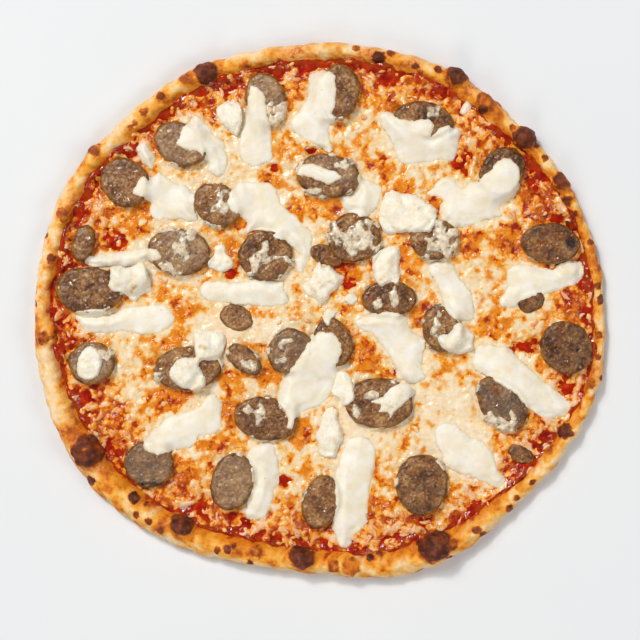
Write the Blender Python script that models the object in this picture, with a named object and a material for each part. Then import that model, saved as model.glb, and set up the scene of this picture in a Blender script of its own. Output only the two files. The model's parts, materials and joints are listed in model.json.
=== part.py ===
"""A whole sausage pizza, 33 cm across, built up in the order in which it is made.

A thin dough base with a puffed, blistered rim carries a sheet of tomato sauce, a sheet of melted
shredded cheese with the last loose shreds fused on, slices of sausage, torn strips of fresh
mozzarella and dollops of ricotta. Each piece is one closed solid and rests on what lies under it.

Every size and place below is in millimetres, with X to the right and Y away from the cook. add_solid()
turns them into metres and puts the origin on the table under the middle of the pizza.
"""

import math
import random

import bmesh
import bpy
import numpy as np
from mathutils import Vector, noise

MM = 0.001
GAP = 0.3  # clear space between two pieces that touch

# Dough: the outline's radius and the rim's width, every 15 degrees from +X, turning left.
OUTLINE = (
    (165, 8), (163, 8), (161, 10), (158, 12), (159, 13), (156, 11),
    (155, 11), (155, 12), (158, 13), (158, 13), (163, 12), (164, 12),
    (165, 12), (166, 15), (167, 19), (164, 19), (158, 18), (152, 16),
    (152, 15), (159, 17), (162, 17), (160, 13), (164, 11), (167, 8),
)
BASE_THICKNESS = 3.0
RIM_HEIGHT = 6.0  # plus a share of the rim's width: where it is wide it has also puffed up more
RIM_HEIGHT_PER_WIDTH = 0.35
RIM_HEIGHT_SWING = 1.4
RIM_SEGMENTS = 144
RIM_SWING_LENGTH = 58.0  # how far along the rim one swell reaches
# The rim's section: share of its width from the inner foot outwards, share of its height above
# the base.
RIM_SECTION = (
    (0.0, 0.0), (0.16, 0.50), (0.34, 0.87), (0.54, 1.0), (0.74, 0.93), (0.90, 0.62), (1.0, 0.12),
)
# Below it, the rounded lower edge and the edge of the flat underside: inset, height.
LOWER_EDGE = ((0.8, 1.2), (2.5, 0.0))

# Blisters on the rim: x, y, radius, rise.
BLISTERS = (
    (79, 135, 8, 3.5), (96, 121, 6, 2.0), (119, 99, 7, 3.0), (139, 74, 6, 2.2), (159, 6, 5, 1.5),
    (154, -42, 5, 2.0), (141, -69, 5, 2.0), (65, -133, 11, 5.0), (-10, -141, 8, 4.0),
    (-79, -123, 7, 3.5), (-106, -106, 6, 2.5), (-132, -79, 11, 4.5), (-149, -13, 8, 3.0),
    (-145, 55, 6, 3.0), (-154, 29, 4, 1.5), (-128, 93, 5, 2.0), (-65, 136, 7, 3.0),
    (34, 146, 5, 1.5), (8, -146, 4, 1.5), (-50, -138, 5, 1.5),
)

BLISTER_FADE = 3.0  # height above the base over which a blister comes to its full rise

# Sauce: a thin sheet that ends at the rim's inner foot.
SAUCE_THICKNESS = 1.1
SAUCE_SEGMENTS = 72
SAUCE_EDGE_GAP = 1.0
# Its rounded edge: inset, share of the thickness.
SAUCE_SECTION = ((1.2, 0.0), (0.0, 0.4), (1.6, 1.0))
SAUCE_BOTTOM = BASE_THICKNESS + GAP

# Melted cheese: a lumpy sheet that stops short of the rim.
CHEESE_BOTTOM = SAUCE_BOTTOM + SAUCE_THICKNESS + GAP
CHEESE_RINGS = 20
CHEESE_EDGE_GAP = 3.0
CHEESE_EDGE_WAVE = 1.5
CHEESE_EDGE_WAVE_LENGTH = 15.0
CHEESE_EDGE_WIDTH = 1.8
CHEESE_THICKNESS = 1.6
CHEESE_THINNEST = 0.7
CHEESE_LUMP = 0.8
CHEESE_LUMP_SIZE = 11.0
BAY_SPREAD = 1.25  # half width of a bay at the sheet's edge, as a share of its patch's radius
# Where the sauce is bare the sheet's edge draws back: x, y, radius.
BARE_PATCHES = (
    (6, 143, 9), (38, 134, 10), (68, 127, 9), (123, 84, 9), (154, 15, 9), (142, -52, 8),
    (128, -76, 9), (113, -92, 11), (88, -118, 7), (47, -133, 8), (-2, -129, 9), (-28, -131, 9),
    (-69, -118, 9), (-117, -79, 9), (-131, -48, 10), (-146, -18, 8), (-146, 27, 8), (-129, 78, 9),
    (-110, 92, 7), (-96, 111, 8), (-70, 120, 9), (-54, 126, 9),
)

# Loose shreds that lie across the sheet's edge and over its outer part.
SHREDS = 38
SHRED_WIDTH = 2.8
SHRED_HEIGHT = 1.9
SHRED_BACK = 0.55  # width along the back and at the ends, as a share of the full width
SHRED_END_HEIGHT = 0.7
SHRED_LENGTHS = (11.0, 20.0)
SHRED_BEND = 0.35
SHRED_SUNK = 0.9
SHRED_STATIONS = 4
SHRED_INNERMOST = 0.62  # nearest to the middle, as a share of the way to the sheet's edge
SHRED_FROM_EDGE = 2.0
SHRED_FROM_RIM = 3.2
SHRED_FROM_TOPPING = 4.0
SHRED_SEED = 7

# Sausage slices, cut on the slant: x, y, length, width, turn of the length from +X in degrees.
SAUSAGE_THICKNESS = 4.0
SAUSAGE_POINTS = 14
SAUSAGE_STEEPEST = 0.30
SAUSAGE_DOME = 0.35
SLICE_MARGIN = 0.8  # how far outside its outline a slice still keeps clear
SAUSAGE_UNEVEN = 0.05
# The edge of a slice: share of the outline, share of the thickness.
SAUSAGE_SECTION = ((0.94, 0.0), (1.0, 0.5), (0.93, 1.0))
SAUSAGE_SLICES = (
    (-31, 122, 30, 23, -75), (11, 126, 33, 24, 85), (60, 110, 35, 21, -8), (-80, 96, 32, 24, -30),
    (-112, 74, 30, 27, -45), (105, 80, 30, 25, 60), (5, 78, 37, 25, -8), (-59, 61, 29, 24, -35),
    (20, 42, 31, 29, 0), (-31, 32, 31, 29, 0), (-81, 34, 36, 27, -5), (-136, 39, 22, 13, 75),
    (-133, 12, 39, 27, -5), (66, 41, 28, 23, 0), (133, 39, 33, 24, -5), (40, 7, 32, 21, 0),
    (142, -21, 32, 29, -50), (-131, -30, 27, 25, 0), (-17, -23, 27, 25, 45), (8, -18, 29, 21, -70),
    (-43, -28, 23, 14, -40), (-76, -33, 39, 25, 5), (-31, -62, 37, 25, -10), (34, -53, 40, 29, 0),
    (70, -10, 28, 21, -80), (105, -53, 35, 24, -50), (-98, -88, 29, 27, -20), (-50, -98, 33, 25, 75),
    (1, -110, 31, 22, 75), (59, -100, 36, 30, 90),
)

# Fresh mozzarella, torn and slumped: each piece is a row of overlapping rounds x, y, radius.
MOZZARELLA_THICKNESS = 2.3
MOZZARELLA_PIECES = (
    ((-38, 126, 4), (-40, 115, 7), (-41, 100, 9), (-39, 89, 7)),
    ((3, 133, 8), (1, 122, 8), (-4, 109, 12)),
    ((40, 111, 5), (48, 99, 9), (60, 94, 10), (73, 98, 9)),
    ((-75, 108, 5), (-71, 99, 9), (-62, 93, 8), (-56, 83, 5)),
    ((-100, 72, 6), (-96, 61, 6), (-85, 70, 7), (-78, 61, 9)),
    ((-44, 65, 9), (-33, 62, 12), (-20, 50, 12), (-10, 40, 8)),
    ((-64, 10, 6), (-50, 10, 8), (-35, 10, 8), (-24, 10, 7)),
    ((24, 73, 6), (22, 62, 9), (29, 64, 7)),
    ((108, 80, 8), (100, 70, 9), (86, 64, 10), (74, 64, 8), (96, 58, 5)),
    ((148, 24, 5), (136, 20, 8), (123, 16, 9), (112, 10, 8)),
    ((67, 24, 5), (73, 16, 8), (79, 5, 8), (85, -2, 5)),
    ((95, -25, 8), (106, -32, 10), (121, -43, 10), (136, -54, 9)),
    ((25, -6, 4), (37, -10, 9), (48, -16, 10), (53, -29, 9), (54, -39, 5)),
    ((4, -17, 7), (-1, -28, 10), (-10, -42, 11), (-16, -56, 6)),
    ((-136, -7, 5), (-122, -6, 7), (-106, -5, 8), (-92, -5, 8)),
    ((-131, 28, 4), (-118, 31, 5), (-104, 33, 5), (-95, 33, 4), (-113, 21, 8), (-104, 18, 8)),
    ((-96, -76, 6), (-85, -69, 9), (-72, -61, 8), (-63, -51, 9)),
    ((-33, -81, 8), (-31, -96, 7), (-35, -112, 8)),
    ((21, -78, 7), (19, -93, 10), (18, -112, 9), (15, -128, 6)),
    ((74, -72, 9), (85, -81, 13), (97, -95, 10), (100, -101, 7)),
)

# Ricotta, spooned on in lumps, given in the same way.
RICOTTA_THICKNESS = 5.6
RICOTTA_DOLLOPS = (
    ((-51, 116, 6), (-54, 107, 6)),
    ((-3, 23, 7), (2, 12, 8), (9, 20, 6)),
    ((41, 32, 5), (40, 25, 7), (35, 19, 5)),
    ((-60, -18, 8), (-68, -23, 6), (-77, -36, 8)),
    ((12, -41, 7), (15, -49, 6), (7, -60, 5), (6, -74, 7)),
    ((45, 59, 9), (55, 57, 10), (49, 51, 8)),
    ((75, -18, 7), (83, -16, 7), (78, -21, 7)),
)
PATCH_STEP = 6.2  # between the sections along a patch
PATCH_FEWEST_SECTIONS = 5
PATCH_LUMP = 0.22
PATCH_LUMP_SIZE = 6.0
PATCH_ROUNDING = 0.8
WIDEST_PATCH = 25.0
# Across a patch, from one edge to the other: place as a share of its half width, share of its
# full thickness.
PATCH_PROFILE = ((-1.0, 0.0), (-0.66, 0.82), (0.0, 1.0), (0.66, 0.82), (1.0, 0.0))
BLANKET_REACH = 4  # how softly a patch sags over a step, in millimetres
SETTLE_ROUNDS = 60
SETTLE_SAMPLES = 6  # points along each side of a triangle where its height is tested
SETTLE_MARGIN = 0.02

COLOURS = {
    "crust": ((0.72, 0.42, 0.17), 0.75),
    "sauce": ((0.42, 0.03, 0.01), 0.30),
    "melted_cheese": ((0.86, 0.58, 0.27), 0.35),
    "sausage": ((0.17, 0.12, 0.09), 0.45),
    "mozzarella": ((0.88, 0.84, 0.72), 0.38),
    "ricotta": ((0.90, 0.85, 0.70), 0.60),
}
SMOOTH_ANGLE = math.radians(50)


def clear_scene():
    for obj in list(bpy.data.objects):
        bpy.data.objects.remove(obj)


def material(name):
    colour, roughness = COLOURS[name]
    made = bpy.data.materials.new(name)
    made.use_nodes = True
    shader = made.node_tree.nodes["Principled BSDF"]
    shader.inputs["Base Color"].default_value = (*colour, 1.0)
    shader.inputs["Roughness"].default_value = roughness
    shader.inputs["Metallic"].default_value = 0.0
    return made


# Unevenness and the plan of the dough


def wobble(x, y, size, seed):
    """Smooth unevenness from -1 to 1 whose lumps are about size across."""
    return noise.noise(Vector((x / size, y / size, 17.3 * seed + 0.5)))


def polar(radius, angle):
    return radius * math.cos(angle), radius * math.sin(angle)


def ring_wobble(angle, wave_length, seed):
    """Unevenness along the rim, the same again after a full turn."""
    return wobble(*polar(OUTLINE[0][0], angle), 0.37 * wave_length, seed)


def around(values, angle):
    """A smooth closed curve through values spaced evenly round the circle, read at an angle."""
    count = len(values)
    place = (angle / math.tau % 1.0) * count
    i = int(place)
    t = place - i
    a, b, c, d = (values[(i + k) % count] for k in (-1, 0, 1, 2))
    return b + 0.5 * t * (c - a + t * (2 * a - 5 * b + 4 * c - d + t * (3 * (b - c) + d - a)))


def rim_radius(angle):
    return around([radius for radius, _ in OUTLINE], angle)


def rim_foot(angle):
    """The radius at which the rim rises from the flat of the base."""
    return rim_radius(angle) - around([width for _, width in OUTLINE], angle)


def outline_middle():
    turns = [math.tau * i / RIM_SEGMENTS for i in range(RIM_SEGMENTS)]
    xs, ys = zip(*(polar(rim_radius(angle), angle) for angle in turns))
    return (min(xs) + max(xs)) / 2, (min(ys) + max(ys)) / 2


MIDDLE = outline_middle()


# From points to objects


def add_solid(name, points, faces, finish):
    """One named object from points in millimetres and faces that turn left seen from outside."""
    mesh = bpy.data.meshes.new(name)
    metres = [((x - MIDDLE[0]) * MM, (y - MIDDLE[1]) * MM, z * MM) for x, y, z in points]
    mesh.from_pydata(metres, [], faces)
    mesh.materials.append(finish)
    mesh.shade_smooth()
    mesh.set_sharp_from_angle(angle=SMOOTH_ANGLE)
    obj = bpy.data.objects.new(name, mesh)
    bpy.context.scene.collection.objects.link(obj)
    return obj


def ring_faces(lower, upper):
    """Triangles between two rings of the same count, numbered the same way round."""
    count = len(lower)
    faces = []
    for i in range(count):
        j = (i + 1) % count
        faces.append((lower[i], lower[j], upper[j]))
        faces.append((lower[i], upper[j], upper[i]))
    return faces


def fan_rings(inner_start, inner_count, outer_start, outer_count):
    """Triangles between two rings of different counts, joined by the nearer turn."""
    faces = []
    i = j = 0
    while i < inner_count or j < outer_count:
        inner = inner_start + i % inner_count
        outer = outer_start + j % outer_count
        if j < outer_count and (j + 1) * inner_count <= (i + 1) * outer_count:
            faces.append((inner, outer, outer_start + (j + 1) % outer_count))
            j += 1
        else:
            faces.append((inner, outer, inner_start + (i + 1) % inner_count))
            i += 1
    return faces


def stacked_rings(name, rings, finish):
    """A solid from closed rings of points, lowest first, with both ends filled flat."""
    points = [point for ring in rings for point in ring]
    count = len(rings[0])
    numbers = [range(i * count, (i + 1) * count) for i in range(len(rings))]
    faces = [tuple(reversed(numbers[0])), tuple(numbers[-1])]
    for lower, upper in zip(numbers, numbers[1:]):
        faces += ring_faces(lower, upper)
    return add_solid(name, points, faces, finish)


# Dough, sauce and melted cheese


def blister_rise(x, y):
    rise = 0.0
    for bx, by, radius, height in BLISTERS:
        share = math.hypot(x - bx, y - by) / radius
        if share < 1.0:
            rise = max(rise, height * (1 - share * share) ** 1.5)
    return rise


def rim_point(angle, across, up):
    """A point of the rim's section, swollen where there is a blister."""
    foot, edge = rim_foot(angle), rim_radius(angle)
    swing = RIM_HEIGHT_SWING * ring_wobble(angle, RIM_SWING_LENGTH, 1)
    rise = up * (RIM_HEIGHT + RIM_HEIGHT_PER_WIDTH * (edge - foot) + swing - BASE_THICKNESS)
    x, y = polar(foot + across * (edge - foot), angle)
    swell = min(1.0, rise / BLISTER_FADE)
    return x, y, BASE_THICKNESS + rise + swell * blister_rise(x, y)


def build_crust(finish):
    turns = [math.tau * i / RIM_SEGMENTS for i in range(RIM_SEGMENTS)]
    rings = [[(*polar(rim_radius(a) - inset, a), z) for a in turns] for inset, z in reversed(LOWER_EDGE)]
    for across, up in reversed(RIM_SECTION):
        rings.append([rim_point(a, across, up) for a in turns])
    return stacked_rings("crust", rings, finish)


def build_sauce(finish):
    turns = [math.tau * i / SAUCE_SEGMENTS for i in range(SAUCE_SEGMENTS)]
    rings = []
    for inset, share in SAUCE_SECTION:
        z = SAUCE_BOTTOM + share * SAUCE_THICKNESS
        rings.append([(*polar(rim_foot(a) - SAUCE_EDGE_GAP - inset, a), z) for a in turns])
    return stacked_rings("sauce", rings, finish)


def cheese_edge(angle):
    """The radius of the cheese sheet: near the rim, drawn back in a bay where the sauce is bare."""
    wave = CHEESE_EDGE_WAVE * ring_wobble(angle, CHEESE_EDGE_WAVE_LENGTH, 2)
    radius = rim_foot(angle) - CHEESE_EDGE_GAP + wave
    draw_back = 0.0
    for x, y, reach in BARE_PATCHES:
        distance = math.hypot(x, y)
        off = math.remainder(angle - math.atan2(y, x), math.tau) * distance / (BAY_SPREAD * reach)
        if abs(off) < 1.0:
            depth = max(0.0, radius - (distance - reach))
            draw_back = max(draw_back, depth * (1 - off * off) ** 2)
    return radius - draw_back


def cheese_height(x, y):
    lumps = wobble(x, y, CHEESE_LUMP_SIZE, 3) + 0.5 * wobble(x, y, 0.45 * CHEESE_LUMP_SIZE, 4)
    return CHEESE_BOTTOM + max(CHEESE_THINNEST, CHEESE_THICKNESS + CHEESE_LUMP * lumps)


def build_cheese_sheet(finish):
    """Rings of six more points each time, so that the triangles stay even, over a flat underside."""
    points = [(0.0, 0.0, cheese_height(0.0, 0.0))]
    faces = [(0, 1 + i, 1 + (i + 1) % 6) for i in range(6)]
    for ring in range(1, CHEESE_RINGS + 1):
        start, count = len(points), 6 * ring
        for i in range(count):
            angle = math.tau * i / count
            edge = cheese_edge(angle)
            if ring == CHEESE_RINGS:
                points.append((*polar(edge, angle), CHEESE_BOTTOM))
            else:
                x, y = polar((edge - CHEESE_EDGE_WIDTH) * ring / (CHEESE_RINGS - 1), angle)
                points.append((x, y, cheese_height(x, y)))
        if ring > 1:
            faces += fan_rings(start - count + 6, count - 6, start, count)
    faces.append(tuple(reversed(range(start, start + count))))
    return add_solid("melted_cheese", points, faces, finish)


# Shreds fused to the cheese


def near_topping(x, y, margin):
    for cx, cy, length, width, turn in SAUSAGE_SLICES:
        a = math.radians(turn)
        u = (x - cx) * math.cos(a) + (y - cy) * math.sin(a)
        v = (y - cy) * math.cos(a) - (x - cx) * math.sin(a)
        if math.hypot(u / (length / 2 + margin), v / (width / 2 + margin)) < 1:
            return True
    rounds = [r for piece in MOZZARELLA_PIECES + RICOTTA_DOLLOPS for r in piece]
    return any(math.hypot(x - rx, y - ry) < radius + margin for rx, ry, radius in rounds)


def shred_route(draw):
    """A gently bent run of stations, or None where it would meet the rim or a topping."""
    angle = draw.uniform(0, math.tau)
    edge = cheese_edge(angle)
    x, y = polar(draw.uniform(SHRED_INNERMOST * edge, edge - SHRED_FROM_EDGE), angle)
    heading = draw.uniform(0, math.tau)
    bend = draw.uniform(-SHRED_BEND, SHRED_BEND)
    step = draw.uniform(*SHRED_LENGTHS) / (SHRED_STATIONS - 1)
    route = []
    for _ in range(SHRED_STATIONS):
        too_far_out = math.hypot(x, y) > rim_foot(math.atan2(y, x)) - SHRED_FROM_RIM
        if too_far_out or near_topping(x, y, SHRED_FROM_TOPPING):
            return None
        route.append((x, y))
        x += step * math.cos(heading)
        y += step * math.sin(heading)
        heading += bend
    return route


def shred_bottom(x, y):
    """Sunk into the sheet, or just clear of the sauce past the sheet's edge."""
    if math.hypot(x, y) < cheese_edge(math.atan2(y, x)) - CHEESE_EDGE_WIDTH:
        return cheese_height(x, y) - SHRED_SUNK
    return CHEESE_BOTTOM + GAP / 3


def shred_solid(name, route, finish):
    """A low strip, narrower along its back, with four points a station."""
    points = []
    last = len(route) - 1
    for i, (x, y) in enumerate(route):
        before, after = route[max(i - 1, 0)], route[min(i + 1, last)]
        along = Vector((after[0] - before[0], after[1] - before[1])).normalized()
        at_end = i in (0, last)
        half = SHRED_WIDTH / 2 * (SHRED_BACK if at_end else 1.0)
        low = shred_bottom(x, y)
        high = low + SHRED_HEIGHT * (SHRED_END_HEIGHT if at_end else 1.0)
        back = SHRED_BACK * half
        for across, z in ((half, low), (-half, low), (-back, high), (back, high)):
            points.append((x - along.y * across, y + along.x * across, z))
    faces = [(0, 1, 2, 3), tuple(4 * last + k for k in (3, 2, 1, 0))]
    for i in range(last):
        near, far = 4 * i, 4 * (i + 1)
        faces += [(near + k, far + k, far + (k + 1) % 4, near + (k + 1) % 4) for k in range(4)]
    return add_solid(name, points, faces, finish)


def fuse(body, extras):
    """Joins extras to body with one Boolean union on a collection, which is then removed."""
    group = bpy.data.collections.new("fused_on")
    bpy.context.scene.collection.children.link(group)
    for obj in extras:
        bpy.context.scene.collection.objects.unlink(obj)
        group.objects.link(obj)
    union = body.modifiers.new("fuse", "BOOLEAN")
    union.operation = "UNION"
    union.operand_type = "COLLECTION"
    union.collection = group
    union.solver = "MANIFOLD"
    graph = bpy.context.evaluated_depsgraph_get()
    joined = bpy.data.meshes.new_from_object(body.evaluated_get(graph))
    body.modifiers.remove(union)
    body.data = joined
    for obj in extras:
        bpy.data.objects.remove(obj)
    bpy.data.collections.remove(group)
    drop_scraps(joined)


def drop_scraps(mesh):
    """Triangulates a mesh and keeps the largest of the pieces that it falls into."""
    bm = bmesh.new()
    bm.from_mesh(mesh)
    bmesh.ops.triangulate(bm, faces=bm.faces)
    left = set(bm.verts)
    islands = []
    while left:
        island, todo = set(), [left.pop()]
        while todo:
            vert = todo.pop()
            island.add(vert)
            for edge in vert.link_edges:
                other = edge.other_vert(vert)
                if other in left:
                    left.discard(other)
                    todo.append(other)
        islands.append(island)
    islands.sort(key=len)
    scraps = [vert for island in islands[:-1] for vert in island]
    bmesh.ops.delete(bm, geom=scraps, context="VERTS")
    bm.to_mesh(mesh)
    bm.free()


def add_shreds(sheet, finish):
    draw = random.Random(SHRED_SEED)
    shreds = []
    while len(shreds) < SHREDS:
        route = shred_route(draw)
        if route:
            shreds.append(shred_solid(f"shred_{len(shreds)}", route, finish))
    fuse(sheet, shreds)


# What the toppings rest on


class Surface:
    """The height of all that is built so far, on a grid of 1 mm."""

    def __init__(self):
        self.reach = round(max(radius for radius, _ in OUTLINE)) + 8
        self.top = np.zeros((2 * self.reach + 1, 2 * self.reach + 1))

    def lay(self, obj):
        """Raises the grid to the top of an object's triangles."""
        mesh = obj.data
        mesh.calc_loop_triangles()
        corners = np.array([v.co for v in mesh.vertices]) / MM + (*MIDDLE, 0.0)
        for triangle in mesh.loop_triangles:
            self.lay_triangle(*(corners[i] for i in triangle.vertices))

    def lay_triangle(self, a, b, c):
        """Raises the grid points inside a triangle and, for safety, just outside its edges."""
        double_area = (b[0] - a[0]) * (c[1] - a[1]) - (b[1] - a[1]) * (c[0] - a[0])
        if double_area < 1e-6:
            return
        low = np.floor(np.minimum(np.minimum(a, b), c)[:2]).astype(int)
        high = np.ceil(np.maximum(np.maximum(a, b), c)[:2]).astype(int)
        gx, gy = np.meshgrid(np.arange(low[0], high[0] + 1), np.arange(low[1], high[1] + 1))
        wb = ((gx - a[0]) * (c[1] - a[1]) - (gy - a[1]) * (c[0] - a[0])) / double_area
        wc = ((b[0] - a[0]) * (gy - a[1]) - (b[1] - a[1]) * (gx - a[0])) / double_area
        slack = 1.0 / math.sqrt(double_area) + 0.02
        inside = (wb > -slack) & (wc > -slack) & (wb + wc < 1 + slack)
        wb, wc = np.clip(wb, 0, 1), np.clip(wc, 0, 1)
        total = np.maximum(wb + wc, 1.0)
        z = a[2] + wb / total * (b[2] - a[2]) + wc / total * (c[2] - a[2])
        places = ((gy + self.reach)[inside], (gx + self.reach)[inside])
        np.maximum.at(self.top, places, z[inside])

    def blanket(self):
        """The height of a soft sheet over the whole grid: each step becomes a slope."""
        span = range(-BLANKET_REACH, BLANKET_REACH + 1)
        disc = [(i, j) for i in span for j in span if i * i + j * j <= BLANKET_REACH**2]
        raised = np.max([np.roll(self.top, shift, (0, 1)) for shift in disc], axis=0)
        return np.mean([np.roll(raised, shift, (0, 1)) for shift in disc], axis=0)

    def read(self, xs, ys, heights=None):
        """The greatest height at the four grid points round each place."""
        heights = self.top if heights is None else heights
        columns = np.floor(np.asarray(xs)).astype(int) + self.reach
        rows = np.floor(np.asarray(ys)).astype(int) + self.reach
        return np.max([heights[rows + i, columns + j] for i in (0, 1) for j in (0, 1)], axis=0)


# Sausage


def slice_outline(spec, index):
    """The slanted cut of a round sausage: an ellipse, a little uneven."""
    cx, cy, length, width, turn = spec
    turned = math.radians(turn)
    points = []
    for k in range(SAUSAGE_POINTS):
        t = math.tau * k / SAUSAGE_POINTS
        uneven = 1 + SAUSAGE_UNEVEN * wobble(*polar(1.5, t), 1.0, 10 + index)
        u, v = length / 2 * math.cos(t) * uneven, width / 2 * math.sin(t) * uneven
        x = u * math.cos(turned) - v * math.sin(turned)
        y = u * math.sin(turned) + v * math.cos(turned)
        points.append((x, y))
    return points


def grid_inside(outline, margin):
    """The grid points inside a convex outline or no further outside it than the margin."""
    reach = math.ceil(max(math.hypot(x, y) for x, y in outline) + margin)
    gx, gy = (g.ravel() for g in np.meshgrid(*[np.arange(-reach, reach + 1.0)] * 2))
    inside = np.ones(len(gx), bool)
    for (x0, y0), (x1, y1) in zip(outline, outline[1:] + outline[:1]):
        from_edge = ((x1 - x0) * (gy - y0) - (y1 - y0) * (gx - x0)) / math.hypot(x1 - x0, y1 - y0)
        inside &= from_edge > -margin
    return gx[inside], gy[inside]


def resting_plane(surface, cx, cy, outline):
    """Height and slopes of the plane that best follows what lies under a slice and clears it."""
    gx, gy = grid_inside(outline, SLICE_MARGIN)
    z = surface.read(gx + cx, gy + cy)
    _, slope_x, slope_y = np.linalg.lstsq(np.column_stack([gx**0, gx, gy]), z, rcond=None)[0]
    ease = min(1.0, SAUSAGE_STEEPEST / max(math.hypot(slope_x, slope_y), 1e-9))
    slope_x, slope_y = ease * slope_x, ease * slope_y
    return (z - slope_x * gx - slope_y * gy).max() + GAP, slope_x, slope_y


def build_sausage_slice(index, spec, surface, finish):
    cx, cy = spec[:2]
    outline = slice_outline(spec, index)
    level, slope_x, slope_y = resting_plane(surface, cx, cy, outline)
    points = []
    for share, up in SAUSAGE_SECTION:
        for x, y in ((share * x, share * y) for x, y in outline):
            z = level + slope_x * x + slope_y * y + up * SAUSAGE_THICKNESS
            points.append((cx + x, cy + y, z))
    dome = SAUSAGE_DOME * (1 + wobble(cx, cy, 7, 5))
    top = len(points)
    points.append((cx, cy, level + SAUSAGE_THICKNESS + dome))
    rings = [range(k * SAUSAGE_POINTS, (k + 1) * SAUSAGE_POINTS) for k in range(len(SAUSAGE_SECTION))]
    faces = [tuple(reversed(rings[0]))]
    for lower, upper in zip(rings, rings[1:]):
        faces += ring_faces(lower, upper)
    faces += [(a, b, top) for a, b in zip(rings[-1], [*rings[-1][1:], rings[-1][0]])]
    return add_solid(f"sausage_slice_{index + 1:02d}", points, faces, finish)


# Mozzarella and ricotta


def eased(sections, k):
    """A section whose edges are eased towards those of its neighbours."""
    start, left, right = sections[k]
    if k in (0, len(sections) - 1):
        return start, left, right
    before, after = sections[k - 1], sections[k + 1]
    return start, (before[1] + 2 * left + after[1]) / 4, (before[2] + 2 * right + after[2]) / 4


def patch_sections(rounds):
    """A patch's two end points, its sections along its longer way, and the way across it."""
    centres = np.array([(x, y) for x, y, _ in rounds], float)
    radii = np.array([r for _, _, r in rounds], float)
    middle = np.average(centres, axis=0, weights=radii**2)
    spread = (centres - middle).T @ ((centres - middle) * (radii**2)[:, None])
    along = np.linalg.eigh(spread)[1][:, -1]
    across = np.array([-along[1], along[0]])
    reach = (centres - middle) @ along
    first, last = (reach - radii).min(), (reach + radii).max()
    count = max(PATCH_FEWEST_SECTIONS, round((last - first) / PATCH_STEP))
    sections = []
    for k in range(count):
        share = 0.5 - 0.5 * math.cos(math.pi * (k + 1.25) / (count + 1.5))
        start = middle + along * (first + share * (last - first))
        tried = np.arange(-WIDEST_PATCH, WIDEST_PATCH, 0.5)
        places = start + tried[:, None] * across
        from_rounds = np.linalg.norm(places[:, None] - centres, axis=2) - radii
        inside = tried[from_rounds.min(axis=1) < PATCH_ROUNDING]
        sections.append((start, inside.min(), inside.max()))
    sections = [eased(sections, k) for k in range(count)]
    ends = []
    for (_, left, right), distance in ((sections[0], first), (sections[-1], last)):
        ends.append(middle + along * distance + across * (left + right) / 2)
    return ends, sections, across


def turned_left(points, faces):
    """The same triangles, each with its corners turning left seen from above."""
    made = []
    for a, b, c in faces:
        (ax, ay), (bx, by), (cx, cy) = points[a], points[b], points[c]
        left = (bx - ax) * (cy - ay) - (by - ay) * (cx - ax) > 0
        made.append((a, b, c) if left else (a, c, b))
    return made


def patch_plan(rounds):
    """A patch seen from above: its points, their shares of the thickness, and its triangles."""
    (first, last), sections, across = patch_sections(rounds)
    points, shares = [first], [0.0]
    for start, left, right in sections:
        for place, share in PATCH_PROFILE:
            points.append(start + across * ((left + right) + place * (right - left)) / 2)
            shares.append(share)
    points.append(last)
    shares.append(0.0)
    row = len(PATCH_PROFILE)
    tail = len(points) - 1
    faces = [(0, k + 1, k + 2) for k in range(row - 1)]
    faces += [(tail, tail - k - 1, tail - k - 2) for k in range(row - 1)]
    for start in range(1, tail - row, row):
        for a in range(start, start + row - 1):
            faces += [(a, a + 1, a + 1 + row), (a, a + 1 + row, a + row)]
    return np.array(points), np.array(shares), turned_left(points, faces)


def settle(points, faces, surface):
    """Heights that let a flat mesh sag onto the surface, never closer than the gap."""
    n = SETTLE_SAMPLES
    weights = np.array([(i, j, n - i - j) for i in range(n + 1) for j in range(n + 1 - i)]) / n
    corners = np.array(faces)
    samples = np.einsum("sk,fkd->fsd", weights, points[corners])
    floor = surface.read(samples[..., 0], samples[..., 1]) + GAP
    height = surface.read(points[:, 0], points[:, 1], surface.blanket()) + GAP
    for _ in range(SETTLE_ROUNDS):
        short = floor - np.einsum("sk,fk->fs", weights, height[corners])
        worst = short.argmax(axis=1)
        lack = np.maximum(short[np.arange(len(corners)), worst], 0.0)
        if lack.max() < SETTLE_MARGIN / 2:
            break
        weight = weights[worst]
        raised = height[corners] + lack[:, None] * weight / (weight**2).sum(axis=1)[:, None]
        np.maximum.at(height, corners.ravel(), raised.ravel())
    return height + SETTLE_MARGIN


def build_patch(name, rounds, thickness, surface, finish):
    """A soft piece that sags over what lies under it and thins out to its edge."""
    points, shares, faces = patch_plan(rounds)
    low = settle(points, faces, surface)
    lumps = np.array([1 + PATCH_LUMP * wobble(x, y, PATCH_LUMP_SIZE, 6) for x, y in points])
    high = low + shares * thickness * lumps
    inner = np.flatnonzero(shares > 0.0)
    upper = np.arange(len(points))
    upper[inner] = len(points) + np.arange(len(inner))
    solid = [*zip(*points.T, low), *zip(*points[inner].T, high[inner])]
    skin = [tuple(int(upper[i]) for i in face) for face in faces]
    skin += [tuple(reversed(face)) for face in faces]
    return add_solid(name, solid, skin, finish)


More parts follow.
